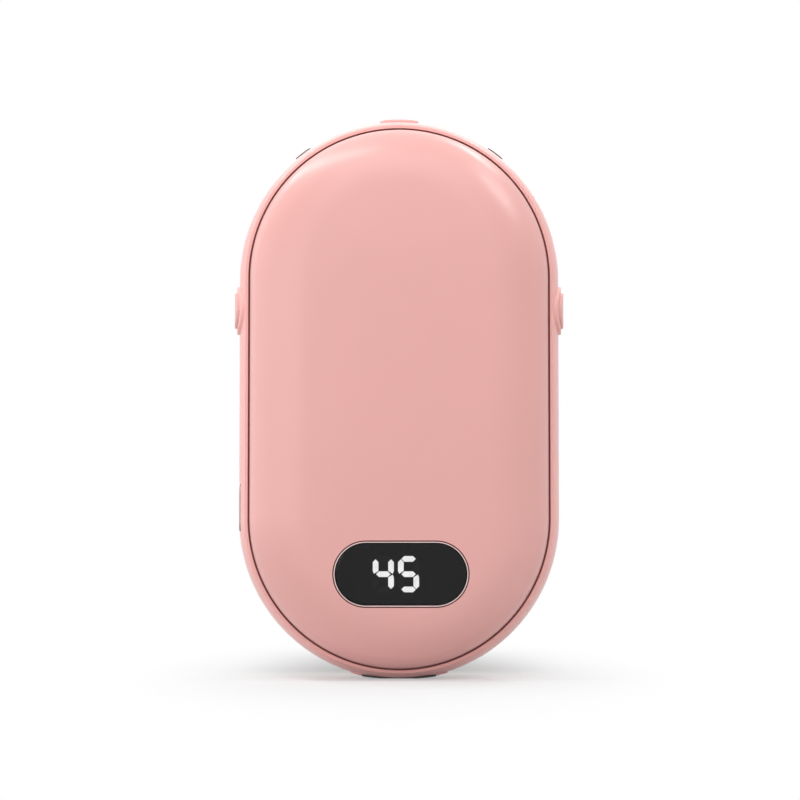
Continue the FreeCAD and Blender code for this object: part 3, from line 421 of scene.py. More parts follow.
lens_steps = pad_steps(lens_radius - LENS_SEAM, lens_face, LENS_ROUND, lens_back, across=7, bend=4)
window = pill("display_window", display_reach, (0, lens_face), lens_steps, turn_steps=64, run_steps=16)
place_on_face(window, (lens_face + lens_back) / 2)
hand_over(window, "smoked_window", "display_lens")

# %% [markdown]
# A black gasket closes the gap behind the window's edge, so that no light or dust comes past the display. It
# is a small ring, drawn as a closed section and taken round the same pill.

# %% Gasket behind the window
GASKET_THICK = 0.5
GASKET_STEPS = 2
housing_low, housing_high = node_box("display_housing")
gasket_inner = (housing_high.z - housing_low.z) / 2 + FIT_GAP
gasket_front = lens_back - FIT_GAP
gasket_back = gasket_front - GASKET_THICK
gasket_steps = [
    (lens_radius, gasket_front, GASKET_STEPS),
    (lens_radius, gasket_back),
    (gasket_inner, gasket_back, GASKET_STEPS),
    (gasket_inner, gasket_front),
]
gasket = pill("window_gasket", display_reach, (gasket_inner, gasket_front), gasket_steps)
place(gasket, ALONG_X, FRONT, (display_x, 0, display_z))
hand_over(gasket, "black_plastic")

# %% [markdown]
# Two seven-segment digits shine through the window. Each lit bar is a light guide with pointed ends, and all
# nine are alike. So one is drawn, as a pill whose ends turn in only two steps, and copied to every place. Where
# an upright bar ends at the middle of a digit, its tip leans outwards and leaves an even gap to the level bar.

# %% Lit bars of the two digits
DIGIT_GAP = 0.64
BAR_PITCH_WIDTH = 1.15
BAR_WIDTH = 1.08
BAR_SEAM = 0.14
BAR_ROUND = 0.04
TIP_LEAN = 0.3
# Where a bar lies in its digit, as shares of the digit's half width and half height
BARS = {
    "top": (0, 1), "middle": (0, 0), "bottom": (0, -1),
    "upper_left": (-1, 0.5), "upper_right": (1, 0.5), "lower_right": (1, -0.5),
}
DIGITS = {
    -1: ("upper_left", "middle", "upper_right", "lower_right"),
    1: ("top", "upper_left", "middle", "lower_right", "bottom"),
}
lit_low, lit_high = node_box("lit_segments")
bar_thick = lit_high.y - lit_low.y
digit_width = (lit_high.x - lit_low.x - DIGIT_GAP) / 2
span_x = (digit_width - BAR_PITCH_WIDTH) / 2
span_z = (lit_high.z - lit_low.z - BAR_PITCH_WIDTH) / 2
digits_middle = (lit_low + lit_high) / 2
bar_radius = BAR_WIDTH / 2
bar_tip = span_x - BAR_SEAM / 2
bar_steps = [
    (bar_radius - BAR_ROUND, bar_thick),
    (bar_radius, bar_thick - BAR_ROUND),
    (bar_radius, 0),
    (0, 0),
]
first_bar = pill("lit_bar", bar_tip - bar_radius, (0, bar_thick), bar_steps, turn_steps=2, run_steps=2)

lit_bars = []
for digit_side, names in DIGITS.items():
    digit_x = digits_middle.x + digit_side * (digit_width + DIGIT_GAP) / 2
    for name in names:
        share_x, share_z = BARS[name]
        bar = copy_of(first_bar, f"lit_bar_{name}")
        bar_middle = Vector((digit_x + share_x * span_x, lit_high.y, digits_middle.z + share_z * span_z))
        place(bar, ALONG_Z if share_x else ALONG_X, FRONT, bar_middle)
        for vertex in bar.data.vertices:
            inwards = 2 * share_z * (bar_middle.z - vertex.co.z / MM)
            if share_x and inwards > bar_tip - bar_radius / 2:
                vertex.co.x += share_x * TIP_LEAN * MM
        lit_bars.append(bar)
bpy.data.objects.remove(first_bar)
pick_only(lit_bars[0])
for bar in lit_bars:
    bar.select_set(True)
bpy.ops.object.join()
digits = name_new("lit_digit_bars")
hand_over(digits, "segment_white", "lit_segments")

# %% [markdown]
# ## Side band
# The band is one moulded ring: a bulging outside, two thin lips that stand round the shells, and a rib inside
# that seats them. Its section is a closed loop, swept round the same pill.

# %% The ring
LIP_ROUND = 0.05
BULGE_STEPS = 32
RIB_STEPS = 4
bulge_end = lip - LIP_CHAMFER
bulge_turn = math.asin(bulge_end / BULGE_RADIUS)
bulge_edge = bulge_centre + BULGE_RADIUS * math.cos(bulge_turn)
lip_edge = bulge_edge - LIP_CHAMFER
lip_inner = lip_edge - LIP_FACE
band_start = (bulge_edge, bulge_end)
band_steps = [
    (bulge_centre, 0, BULGE_STEPS, 2 * bulge_turn),
    (lip_edge, -lip),
    (lip_inner + LIP_ROUND, -lip),
    (lip_inner, -lip + LIP_ROUND),
    (lip_inner, -seat),
    (rib_inner, -seat),
    (rib_inner, seat, RIB_STEPS),
    (lip_inner, seat),
    (lip_inner, lip - LIP_ROUND),
    (lip_inner + LIP_ROUND, lip),
    (lip_edge, lip),
    band_start,
]
band = pill("side_band_moulding", half_straight, band_start, band_steps, turn_steps=120, run_steps=40)
place(band, ALONG_Z, FRONT, (0, 0, mid_height))
print("points on the ring:", len(band.data.vertices))

# %% [markdown]
# A round collar stands on each side of the band, with the side button inside it. Whatever stands on the band
# or goes through it is drawn flat, with zero at the band's highest line, and then lowered with the bulge. The
# collar's rim is rounded in its section, so it needs no bevel afterwards.

# %% Helpers for what stands on the band
SIDE_ANGLES = {"left": -90, "right": 90}


def hug_band(piece, proud, above, curved):
    """Lower the outer points of a piece so that its face follows the band across, and along if curved."""
    for vertex in piece.data.vertices:
        if vertex.co.z > above * MM:
            along = vertex.co.x / MM if curved else 0
            across = vertex.co.y / MM
            bulge = bulge_centre + math.sqrt((BULGE_RADIUS + proud) ** 2 - across ** 2)
            vertex.co.z -= (half_width + proud - math.sqrt(bulge ** 2 - along ** 2)) * MM


def place_on_band(piece, degrees, centre):
    """Stand a piece on the band, at an angle from straight up, about a centre on the middle line."""
    angle = math.radians(degrees)
    outward = Vector((math.sin(angle), 0, math.cos(angle)))
    along = Vector((math.cos(angle), 0, -math.sin(angle)))
    place(piece, along, outward, Vector((0, 0, centre)) + outward * half_width)


def copies_on_band(first, angles, centre):
    """Stand a copy of a piece at each angle, and remove the first piece at the end."""
    for side, degrees in angles.items():
        piece = copy_of(first, f"{side}_{first.name}")
        place_on_band(piece, degrees, centre)
        yield side, piece
    bpy.data.objects.remove(first)


print("angles of the sides, in degrees from the top:", SIDE_ANGLES)

# %% Collars round the side buttons
COLLAR_PROUD = 0.5
COLLAR_ROUND = 0.2
COLLAR_ROOT = -1.6
COLLAR_RIM = 1.1
SIDE_FLANGE_RIM = 0.75
cap_low, cap_high = node_box("right_button_cap")
button_height = (cap_low.z + cap_high.z) / 2
cap_radius = (cap_high.z - cap_low.z) / 2 - SIDE_FLANGE_RIM
collar_radius = cap_radius + COLLAR_RIM
collar_steps = pad_steps(collar_radius, COLLAR_PROUD, COLLAR_ROUND, COLLAR_ROOT, across=6, bend=4, down=2)
first_collar = pill("button_collar", 0, (0, COLLAR_PROUD), collar_steps)
hug_band(first_collar, COLLAR_PROUD, COLLAR_ROOT / 2, curved=False)
for _, collar in copies_on_band(first_collar, SIDE_ANGLES, button_height):
    combine(band, collar, "UNION")
print("collar radius in mm:", round(collar_radius, 2), "height of the buttons:", round(button_height, 2))

# %% [markdown]
# At each end of the foot the band has a low pink heel. Both come from one pill that follows the band: a block
# as long as the foot takes its middle away, and leaves the two ends.

# %% Heels at the ends of the foot
FOOT_WIDTH = 5.6
HEEL_PROUD = 0.2
HEEL_ROUND = 0.1
HEEL_ROOT = -2.5
HEEL_LENGTH = 18.3
BLOCK_ROUND_STEPS = 3
BOTTOM_ANGLE = 180
foot_low, foot_high = node_box("rubber_foot")
foot_length = foot_high.x - foot_low.x
foot_radius = FOOT_WIDTH / 2
sole = low_centre - half_width
foot_depth = sole - foot_high.z


def block(name, low, high, rounding):
    """A block between two corners with rounded edges: a cube, scaled, moved and bevelled in edit mode."""
    bpy.ops.object.select_all(action="DESELECT")
    bpy.ops.mesh.primitive_cube_add(size=1)
    piece = name_new(name)
    bpy.ops.object.mode_set(mode="EDIT")
    bpy.ops.transform.resize(value=(Vector(high) - Vector(low)) * MM)
    bpy.ops.transform.translate(value=(Vector(high) + Vector(low)) / 2 * MM)
    bpy.ops.mesh.bevel(offset=rounding * MM, segments=BLOCK_ROUND_STEPS)
    bpy.ops.object.mode_set(mode="OBJECT")
    return piece


heel_gap = Vector((foot_length / 2 + FIT_GAP, FOOT_WIDTH, -HEEL_ROOT + CUT_OVERRUN))
heel_steps = pad_steps(foot_radius, HEEL_PROUD, HEEL_ROUND, HEEL_ROOT, across=4, bend=4)
heel = pill("foot_heels", (HEEL_LENGTH - FOOT_WIDTH) / 2, (0, HEEL_PROUD), heel_steps, turn_steps=32)
hug_band(heel, HEEL_PROUD, HEEL_ROOT / 2, curved=True)
combine(heel, block("heel_gap", -heel_gap, heel_gap, HEEL_ROUND), "DIFFERENCE")
place_on_band(heel, BOTTOM_ANGLE, low_centre)
combine(band, heel, "UNION")
print("length of the foot between the heels, in mm:", round(foot_length, 2))

# %% [markdown]
# The charging socket sits in a flat, as wide as a plug's shoulder, so that a plug goes fully home on the
# bulging band. A block with rounded edges planes it off.

# %% Flat round the charging socket
FLAT_DEPTH = 0.5
FLAT_HALF_WIDTH = 3.4
FLAT_ROUND = 0.12
socket_length = socket_high.z - socket_low.z
socket_width = socket_high.y - socket_low.y
socket_height = (socket_low.z + socket_high.z) / 2
flat_half = Vector((0, FLAT_HALF_WIDTH, socket_length / 2 + FIT_GAP))
flat_middle = Vector((0, 0, socket_height))
flat_low = flat_middle - Vector((half_width + CUT_OVERRUN, 0, 0)) - flat_half
flat_high = flat_middle - Vector((half_width - FLAT_DEPTH, 0, 0)) + flat_half
combine(band, block("socket_flat", flat_low, flat_high, FLAT_ROUND), "DIFFERENCE")
print("points on the band so far:", len(band.data.vertices))

# %% [markdown]
# Openings for the buttons, lights, socket and foot are cut with pill-shaped tools, flared like the one above. A
# tool is lowered with the bulge too, so its flare has the same width all round.

# %% Openings through the band
POWER_LENGTH = 7.5
POWER_WIDTH = 4.2
LIGHT_LENGTH = 3.5
LIGHT_WIDTH = 2
LIGHT_ANGLES = {"left": -37, "right": 37}
TOP_ANGLE = 0
HOLE_FLARE = 0.08
FOOT_FLARE = 0.02
through = rib_inner - half_width - CUT_OVERRUN


def cut_band(length, width, gap, proud, floor, angles, centre, curved, flare=HOLE_FLARE):
    """Cut pill-shaped holes that leave a gap round a piece; curved is None where the band is flat."""
    steps = hole_steps(width / 2 + gap, floor, proud, flare)
    first_tool = pill("band_hole", (length - width) / 2, (0, floor), steps, turn_steps=32)
    if curved is not None:
        hug_band(first_tool, proud, proud - 2 * flare, curved)
    for _, tool in copies_on_band(first_tool, angles, centre):
        combine(band, tool, "DIFFERENCE")


disc_width = 2 * cap_radius
socket_side = {"left": SIDE_ANGLES["left"]}
foot_side = {"bottom": BOTTOM_ANGLE}
cut_band(disc_width, disc_width, SLIDE_GAP, COLLAR_PROUD, through, SIDE_ANGLES, button_height, curved=False)
cut_band(POWER_LENGTH, POWER_WIDTH, SLIDE_GAP, 0, through, {"top": TOP_ANGLE}, high_centre, curved=True)
cut_band(LIGHT_LENGTH, LIGHT_WIDTH, FIT_GAP, 0, through, LIGHT_ANGLES, high_centre, curved=True)
cut_band(socket_length, socket_width, FIT_GAP, -FLAT_DEPTH, through, socket_side, socket_height, curved=None)
cut_band(foot_length, FOOT_WIDTH, FIT_GAP, 0, foot_depth, foot_side, low_centre, curved=True, flare=FOOT_FLARE)
hand_over(band, "pink_band", "side_band")

# %% [markdown]
# ## Push buttons
# The power button is a small pill-shaped pad on top, and the side buttons are round discs in their collars.
# Their faces follow the band, their rims are rounded, and a flange behind the band keeps each from falling
# out. They ride on their own bodies, because each can be pressed.

# %% Power button and side buttons
CAP_ROUND = 0.3
FLANGE_TALL = 0.8
POWER_FLANGE_RIM = 0.6


def button(name, length, width, rim, face_up, flange_low, curved):
    """A push button about the origin: a pad with a rounded rim on a wider flange."""
    radius = width / 2
    flange_top = flange_low + FLANGE_TALL
    *pad, _ = pad_steps(radius, face_up, CAP_ROUND, flange_top, across=6, bend=6, down=2)
    flange = [(radius + rim, flange_top), (radius + rim, flange_low), (0, flange_low)]
    piece = pill(name, (length - width) / 2, (0, face_up), pad + flange, turn_steps=40)
    hug_band(piece, face_up, flange_top / 2, curved)
    return piece


power_low, power_high = node_box("power_button_cap")
top_line = high_centre + half_width
power_levels = (power_high.z - top_line, power_low.z - top_line)
power_pad = button("power_button_pad", POWER_LENGTH, POWER_WIDTH, POWER_FLANGE_RIM, *power_levels, curved=True)
place_on_band(power_pad, TOP_ANGLE, high_centre)
hand_over(power_pad, "pink_button", "power_button_cap", body="power_button")

disc_levels = (cap_high.x - half_width, cap_low.x - half_width)
first_disc = button("button_disc", disc_width, disc_width, SIDE_FLANGE_RIM, *disc_levels, curved=False)
for side, disc in copies_on_band(first_disc, SIDE_ANGLES, button_height):
    hand_over(disc, "pink_button", f"{side}_button_cap", body=f"{side}_button")

# %% [markdown]
# ## Shoulder lights, foot and charging socket
# The shoulder lights are smoked pills, a little proud of the band. One is drawn and copied to both sides.

# %% Shoulder lights
LIGHT_PROUD = 0.26
LIGHT_ROUND = 0.12
LIGHT_ROOT = -5.9
light_reach = (LIGHT_LENGTH - LIGHT_WIDTH) / 2
light_steps = pad_steps(LIGHT_WIDTH / 2, LIGHT_PROUD, LIGHT_ROUND, LIGHT_ROOT, across=4, bend=5, down=2)
first_light = pill("shoulder_light", light_reach, (0, LIGHT_PROUD), light_steps, turn_steps=24, run_steps=6)
hug_band(first_light, LIGHT_PROUD, LIGHT_ROOT / 2, curved=True)
for side, light in copies_on_band(first_light, LIGHT_ANGLES, high_centre):
    hand_over(light, "smoked_light", f"{side}_shoulder_lens")

# %% [markdown]
# The foot is a rubber pill, flat in the middle and sloping up to its ends. It is cut with bisect where the
# slope starts, so that the crease is a real edge, and the points beyond are lifted towards the ends.

# %% Rubber foot
FOOT_FLAT = 7
FOOT_END_RISE = 0.28
FOOT_ROUND = 0.12
foot_reach = (foot_length - FOOT_WIDTH) / 2
level_half = FOOT_FLAT / 2
foot_steps = pad_steps(foot_radius, sole, FOOT_ROUND, foot_depth, across=3, bend=4, down=2)
foot = pill("rubber_foot_pad", foot_reach, (0, sole), foot_steps, turn_steps=32, run_steps=8)
pick_only(foot)
bpy.ops.object.mode_set(mode="EDIT")
for end in (1, -1):
    bpy.ops.mesh.select_all(action="SELECT")
    bpy.ops.mesh.bisect(plane_co=(level_half * end * MM, 0, 0), plane_no=ALONG_X)
bpy.ops.object.mode_set(mode="OBJECT")
for vertex in foot.data.vertices:
    past_level = max(abs(vertex.co.x) / MM - level_half, 0)
    if vertex.co.z / MM > (sole + foot_depth) / 2:
        vertex.co.z -= FOOT_END_RISE * past_level / (foot_length / 2 - level_half) * MM
place_on_band(foot, BOTTOM_ANGLE, low_centre)
hand_over(foot, "foot_rubber", "rubber_foot")

# %% [markdown]
# The socket is a steel sleeve with a rolled mouth, which is half a turn in its section. Its tongue is a block,
# and the gold contacts are one small block, mirrored and repeated in edit mode, as an array would do.

# %% Charging socket: sleeve, tongue and contacts
SLEEVE_WALL = 0.3
SLEEVE_RECESS = 0.06
MOUTH_STEPS = 8
TONGUE_ROUND = 0.12
CONTACTS = 12
CONTACT_PITCH = 0.5
CONTACT_WIDTH = 0.28
CONTACT_LENGTH = 3.2
CONTACT_PROUD = 0.02
ORIGIN = (0, 0, 0)
sleeve_radius = socket_width / 2
sleeve_reach = (socket_length - socket_width) / 2
sleeve_back = socket_low.x - socket_high.x
sleeve_floor = sleeve_back + SLEEVE_WALL
mouth_round = SLEEVE_WALL / 2
mouth_start = -SLEEVE_RECESS - mouth_round
sleeve_steps = [
    (sleeve_radius, sleeve_back),
    (sleeve_radius, mouth_start),
    (sleeve_radius - mouth_round, mouth_start, MOUTH_STEPS, -2 * QUARTER),
    (sleeve_radius - SLEEVE_WALL, sleeve_floor),
    (0, sleeve_floor),
]
sleeve_start = (0, sleeve_back)
sleeve = pill("charging_socket_sleeve", sleeve_reach, sleeve_start, sleeve_steps, turn_steps=32, run_steps=6)
place_on_band(sleeve, SIDE_ANGLES["left"], socket_height)
hand_over(sleeve, "socket_steel", "usb_c_shell")

tongue_low, tongue_high = node_box("usb_c_tongue")
tongue = block("charging_socket_tongue", tongue_low, tongue_high, TONGUE_ROUND)
hand_over(tongue, "black_plastic", "usb_c_tongue")

first_height = socket_height - (CONTACT_PITCH * (CONTACTS - 1) + CONTACT_WIDTH) / 2
contact_low = Vector((tongue_low.x + TONGUE_ROUND, tongue_high.y - TONGUE_ROUND, first_height))
contact_high = contact_low + Vector((CONTACT_LENGTH, TONGUE_ROUND + CONTACT_PROUD, CONTACT_WIDTH))
contacts = block("charging_socket_contacts", contact_low, contact_high, CONTACT_PROUD)
bpy.ops.object.mode_set(mode="EDIT")
bpy.ops.mesh.select_all(action="SELECT")
bpy.ops.mesh.duplicate()
bpy.ops.transform.mirror(constraint_axis=(False, True, False), center_override=ORIGIN)
bpy.ops.mesh.select_all(action="SELECT")
for _ in range(CONTACTS - 1):
    bpy.ops.mesh.duplicate_move(TRANSFORM_OT_translate={"value": (0, 0, CONTACT_PITCH * MM)})
close_mesh()
hand_over(contacts, "contact_brass")

# %% [markdown]
# ## Shared effects
# A finish is built from nodes. A few helpers add a node, fill its sockets and hand back its result, so the
# cells below read as what is computed. A socket knows the tree it is in, so most need no tree.

# %% Helpers that add nodes
def feed(socket, value):
    """Give a socket a number, a colour or another node's result."""
    if isinstance(value, bpy.types.NodeSocket):
        socket.id_data.links.new(value, socket)
    else:
        socket.default_value = (*value, 1) if socket.type == "RGBA" else value


def add_node(tree, kind, output, inputs, **settings):
    """Add a node, set it up, feed its inputs and return one of its outputs."""
    node = tree.nodes.new(kind)
    for label, value in settings.items():
        setattr(node, label, value)
    for label, value in inputs.items():
        feed(node.inputs[label], value)
    return node.outputs[output]


def math_node(operation, first, second=0.0):
    """A Math node between two values, of which one at least is a socket."""
    tree = (first if isinstance(first, bpy.types.NodeSocket) else second).id_data
    return add_node(tree, "ShaderNodeMath", "Value", {0: first, 1: second}, operation=operation)


def ramp(value, low, high, to_low=0.0, to_high=1.0):
    """A smooth change from one value to another as a socket goes from low to high."""
    inputs = {"Value": value, "From Min": low, "From Max": high, "To Min": to_low, "To Max": to_high}
    return add_node(value.id_data, "ShaderNodeMapRange", "Result", inputs, interpolation_type="SMOOTHSTEP")


def object_place(tree):
    """Where a point is, in the object's own coordinates."""
    return add_node(tree, "ShaderNodeTexCoord", "Object", {})


print("textures use each object's own coordinates, in metres")

# %% [markdown]
# No moulded surface is one flat colour. Two effects are used by every finish, so each is a node group: a fine
# grain, which lifts the surface a hair and varies its gloss, and a slow mottle, as left by flow in the mould
# and by handling.

# %% Fine grain and slow mottle
GRAIN_SCALE = 3000.0
GRAIN_DETAIL = 3
GLOSS_COARSER = 0.12
GLOSS_DETAIL = 4
MOTTLE_SCALE = 40.0
MOTTLE_DETAIL = 2
# Most of a noise lies between these two values
NOISE_LOW = 0.3
NOISE_HIGH = 0.7


def noise(where, scale, detail):
    """A Noise texture; its scale is in lumps per metre."""
    inputs = {"Vector": where, "Scale": scale, "Detail": detail}
    return add_node(where.id_data, "ShaderNodeTexNoise", "Fac", inputs)


def new_group(name, inputs, outputs):
    """An empty shader node group with number inputs, and outputs given as names."""
    group = bpy.data.node_groups.new(name, "ShaderNodeTree")
    for label, value in inputs.items():
        socket = group.interface.new_socket(label, in_out="INPUT", socket_type="NodeSocketFloat")
        socket.default_value = value
    for label in outputs:
        group.interface.new_socket(label, in_out="OUTPUT", socket_type="NodeSocketFloat")
    return group, group.nodes.new("NodeGroupInput").outputs, group.nodes.new("NodeGroupOutput").inputs


grain_group, grain_in, grain_out = new_group("fine_grain", {"Scale": GRAIN_SCALE}, ("Height", "Gloss"))
grain_where = object_place(grain_group)
grain_height = noise(grain_where, grain_in["Scale"], GRAIN_DETAIL)
gloss_scale = math_node("MULTIPLY", grain_in["Scale"], GLOSS_COARSER)
grain_gloss = noise(grain_where, gloss_scale, GLOSS_DETAIL)
feed(grain_out["Height"], grain_height)
feed(grain_out["Gloss"], grain_gloss)

mottle_group, mottle_in, mottle_out = new_group("slow_mottle", {"Scale": MOTTLE_SCALE}, ("Mottle",))
mottle_noise = noise(object_place(mottle_group), mottle_in["Scale"], MOTTLE_DETAIL)
feed(mottle_out["Mottle"], ramp(mottle_noise, NOISE_LOW, NOISE_HIGH))
print("node groups:", [group.name for group in bpy.data.node_groups])

# %% [markdown]
# A third group tells how far a point is from a pill's middle line, and so where edges turn and where dust
# gathers. A painted mask could tell that too, but not after a size has changed.

# %% Distance from the middle line of a pill
OUTLINE_INPUTS = {
    "Middle X": 0.0,
    "Middle Z": mid_height * MM,
    "Reach X": 0.0,
    "Reach Z": half_straight * MM,
}
OUTLINE_OUTPUTS = ("Distance", "Depth", "Front")


def object_axes(tree):
    """The X, Y and Z of where a point is."""
    node = tree.nodes.new("ShaderNodeSeparateXYZ")
    feed(node.inputs["Vector"], object_place(tree))
    return node.outputs


outline_group, outline_in, outline_out = new_group("outline_distance", OUTLINE_INPUTS, OUTLINE_OUTPUTS)
outline_axes = object_axes(outline_group)
squares = []
for axis in ("X", "Z"):
    off_middle = math_node("SUBTRACT", outline_axes[axis], outline_in[f"Middle {axis}"])
    either_way = math_node("ABSOLUTE", off_middle)
    past_reach = math_node("SUBTRACT", either_way, outline_in[f"Reach {axis}"])
    squares.append(math_node("POWER", math_node("MAXIMUM", past_reach), 2.0))
feed(outline_out["Distance"], math_node("SQRT", math_node("ADD", *squares)))
feed(outline_out["Depth"], math_node("ABSOLUTE", outline_axes["Y"]))
feed(outline_out["Front"], math_node("LESS_THAN", outline_axes["Y"]))
print("outputs of the outline group:", OUTLINE_OUTPUTS)

# %% [markdown]
# ## Finishes
# Each finish is one material. A helper starts it: a Principled shader whose colour swings a little with the
# mottle, whose roughness swings with the grain, and whose surface has the grain as a shallow bump. What sets
# a finish apart is then added to it.

# %% Helper that starts a finish
FINISHES = {}
# Numbers of a Mix node's colour sockets
MIX_FIRST, MIX_SECOND, MIX_RESULT = 6, 7, 2


def mix_colours(factor, first, second):
    """A colour between two others, each a colour or a socket."""
    inputs = {"Factor": factor, MIX_FIRST: first, MIX_SECOND: second}
    return add_node(factor.id_data, "ShaderNodeMix", MIX_RESULT, inputs, data_type="RGBA")


def use_group(tree, group, **values):
    """Place a node group in a material, with its own values; returns its outputs."""
    node = tree.nodes.new("ShaderNodeGroup")
    node.node_tree = group
    for label, value in values.items():
        feed(node.inputs[label], value)
    return node.outputs


def shade(colour, factor):
    """A colour made lighter or darker by a factor."""
    return tuple(channel * factor for channel in colour)


def finish(
    slot, colour, rough, swing=0.05, rough_swing=0.06,
    grain=GRAIN_SCALE, depth=0.01, mottle=MOTTLE_SCALE, metallic=0.0,
):
    """A material with mottled colour, uneven gloss and a fine grain; depth is the grain's height in mm."""
    material = bpy.data.materials.new(slot)
    material.use_nodes = True
    tree = material.node_tree
    shader = tree.nodes["Principled BSDF"].inputs
    grained = use_group(tree, grain_group, Scale=grain)
    mottled = use_group(tree, mottle_group, Scale=mottle)["Mottle"]
    tint = mix_colours(mottled, shade(colour, 1 - swing), shade(colour, 1 + swing))
    gloss = ramp(grained["Gloss"], NOISE_LOW, NOISE_HIGH, rough - rough_swing, rough + rough_swing)
    bump = {"Height": grained["Height"], "Distance": depth * MM}
    feed(shader["Metallic"], metallic)
    feed(shader["Base Color"], tint)
    feed(shader["Roughness"], gloss)
    feed(shader["Normal"], add_node(tree, "ShaderNodeBump", "Normal", bump))
    FINISHES[slot] = material
    return tree, shader, tint


print("usual scales, in lumps per metre: grain", GRAIN_SCALE, "mottle", MOTTLE_SCALE)

# %% [markdown]
# The pink soft-touch plastic is the finish that everyone sees. In the parting groove it is darker: a painted
# shade, with dust and skin oil that stay there. On the turn of the edge it is a touch paler: a painted
# highlight, with polish from hands. A button is darker only behind the band, with the same painted shade and
# dust. Round the display opening the shell has that painted shade and dust too. The display's rim is paler;
# towards the shell it has the painted shade and dust of the gap, and towards the window a painted black shade.

# %% Pink mouldings
PINK = (0.805, 0.413, 0.385)
# The band's pink is the shells' pink made lighter: painted light, for the extra light the band catches
BAND_PAINTED_LIGHT_PINK = (0.87, 0.45, 0.42)
# Darker pink: painted shade, with dust, in the grooves and gaps
SHADE_AND_DUST_PINK = (0.27, 0.065, 0.058)
RIM_PINK = (0.95, 0.7, 0.68)
# Black painted shade on the rim's edge towards the window
PAINTED_SHADE_BLACK = (0.012, 0.011, 0.011)
PINK_GRAIN = 4200.0
SHEEN_WEIGHT = 0.05
SHEEN_ROUGH = 0.4
# How far in from the edge, and how much paler, the painted highlight and wear go
WEAR_AND_HIGHLIGHT_WIDTH = 6
WEAR_AND_HIGHLIGHT_PALER = 1.05
# Where the painted shade and dust in the groove and round the lip start and fade, and how dark they are on a
# button
GROOVE_DARK = 0.2
GROOVE_PLAIN = 0.08
LIP_DARK = 0.02
LIP_PLAIN = 0.06
BUTTON_DUST_AND_SHADE = 0.9
DISPLAY_OUTLINE = {
    "Middle X": display_x * MM,
    "Middle Z": display_z * MM,
    "Reach X": display_reach * MM,
    "Reach Z": 0.0,
}


# Mask for the painted shade and dust in the display's gaps
def display_gap(tree, clean, dark):
    """Where the front goes down into a gap of the display, between two distances off its middle line."""
    outline = use_group(tree, outline_group, **DISPLAY_OUTLINE)
    deep = ramp(outline["Distance"], clean * MM, dark * MM)
    return math_node("MULTIPLY", deep, outline["Front"])


# Colour, and the measure of the outline along which the painted shade and dust fade, from where, to where and
# how thick
PINKS = {
    "pink_shell": (PINK, "Depth", lip - GROOVE_DARK, lip + GROOVE_PLAIN, 1.0),
    "pink_band": (BAND_PAINTED_LIGHT_PINK, "Distance", lip_inner - LIP_DARK, lip_inner + LIP_PLAIN, 1.0),
    "pink_button": (PINK, "Distance", rib_inner, lip_inner, BUTTON_DUST_AND_SHADE),
}
PINK_LOOK = {"rough": 0.31, "swing": 0.012, "rough_swing": 0.03, "depth": 0.004}
wear_and_highlight_end = shell_outer * MM
wear_and_highlight_start = wear_and_highlight_end - WEAR_AND_HIGHLIGHT_WIDTH * MM
for slot, (colour, measure, dark, clean, dust) in PINKS.items():
    tree, shader, tint = finish(slot, colour, grain=PINK_GRAIN, **PINK_LOOK)
    outline = use_group(tree, outline_group)
    # Paler towards the edge: a painted highlight, with wear from hands
    wear_and_highlight = ramp(outline["Distance"], wear_and_highlight_start, wear_and_highlight_end)
    paler = mix_colours(wear_and_highlight, tint, shade(colour, WEAR_AND_HIGHLIGHT_PALER))
    # Darker in the groove, round the lip and behind the band: painted shade, with dust
    dust_and_shade = ramp(outline[measure], dark * MM, clean * MM, dust, 0.0)
    # On the shell, also darker in the gap round the display: painted shade, with dust
    if slot == "pink_shell":
        dust_and_shade = math_node("MAXIMUM", dust_and_shade, display_gap(tree, opening_radius + FLARE, opening_radius))
    feed(shader["Base Color"], mix_colours(dust_and_shade, paler, SHADE_AND_DUST_PINK))
    feed(shader["Sheen Weight"], SHEEN_WEIGHT)
    feed(shader["Sheen Roughness"], SHEEN_ROUGH)

RIM_LOOK = {"rough": 0.3, "swing": 0.02, "depth": 0.003}
rim_tree, rim_shader, rim_tint = finish("bezel_pink", RIM_PINK, grain=PINK_GRAIN, **RIM_LOOK)
# The rim is darker in the gap towards the shell, painted shade with dust, and black towards the window, painted
# shade
outer_gap = display_gap(rim_tree, rim_top - RIM_ROUND, rim_top)
inner_gap = display_gap(rim_tree, rim_inner + RIM_ROUND, rim_inner)
rim_dust_and_shade = mix_colours(outer_gap, rim_tint, SHADE_AND_DUST_PINK)
feed(rim_shader["Base Color"], mix_colours(inner_gap, rim_dust_and_shade, PAINTED_SHADE_BLACK))
print("pink finishes:", list(FINISHES))

# %% [markdown]
# The window is smoked plastic: almost black, but clear enough for the lit digits. Its tint does the darkening,
# so the digits behind have to be bright, as on the real product.

# %% Display
WINDOW_IOR = 1.33
DIGIT_STRENGTH = 2.7
finish("display_black", (0.012, 0.012, 0.013), rough=0.5, swing=0.1)
finish("segment_dark", (0.016, 0.016, 0.017), rough=0.5, swing=0.1)
_, smoke_shader, _ = finish("smoked_window", (0.10, 0.10, 0.10), rough=0.06, rough_swing=0.02, depth=0.0005)
feed(smoke_shader["Transmission Weight"], 1.0)
feed(smoke_shader["IOR"], WINDOW_IOR)
_, lit_shader, lit_tint = finish("segment_white", (0.9, 0.9, 0.9), rough=0.5, swing=0.06, mottle=900.0)
feed(lit_shader["Emission Color"], lit_tint)
feed(lit_shader["Emission Strength"], DIGIT_STRENGTH)
print("finishes so far:", len(FINISHES))

# %% [markdown]
# The other outside finishes: smoked light pills, the rubber foot, the steel sleeve and gold contacts. They
# differ only in their numbers, so one call makes each.

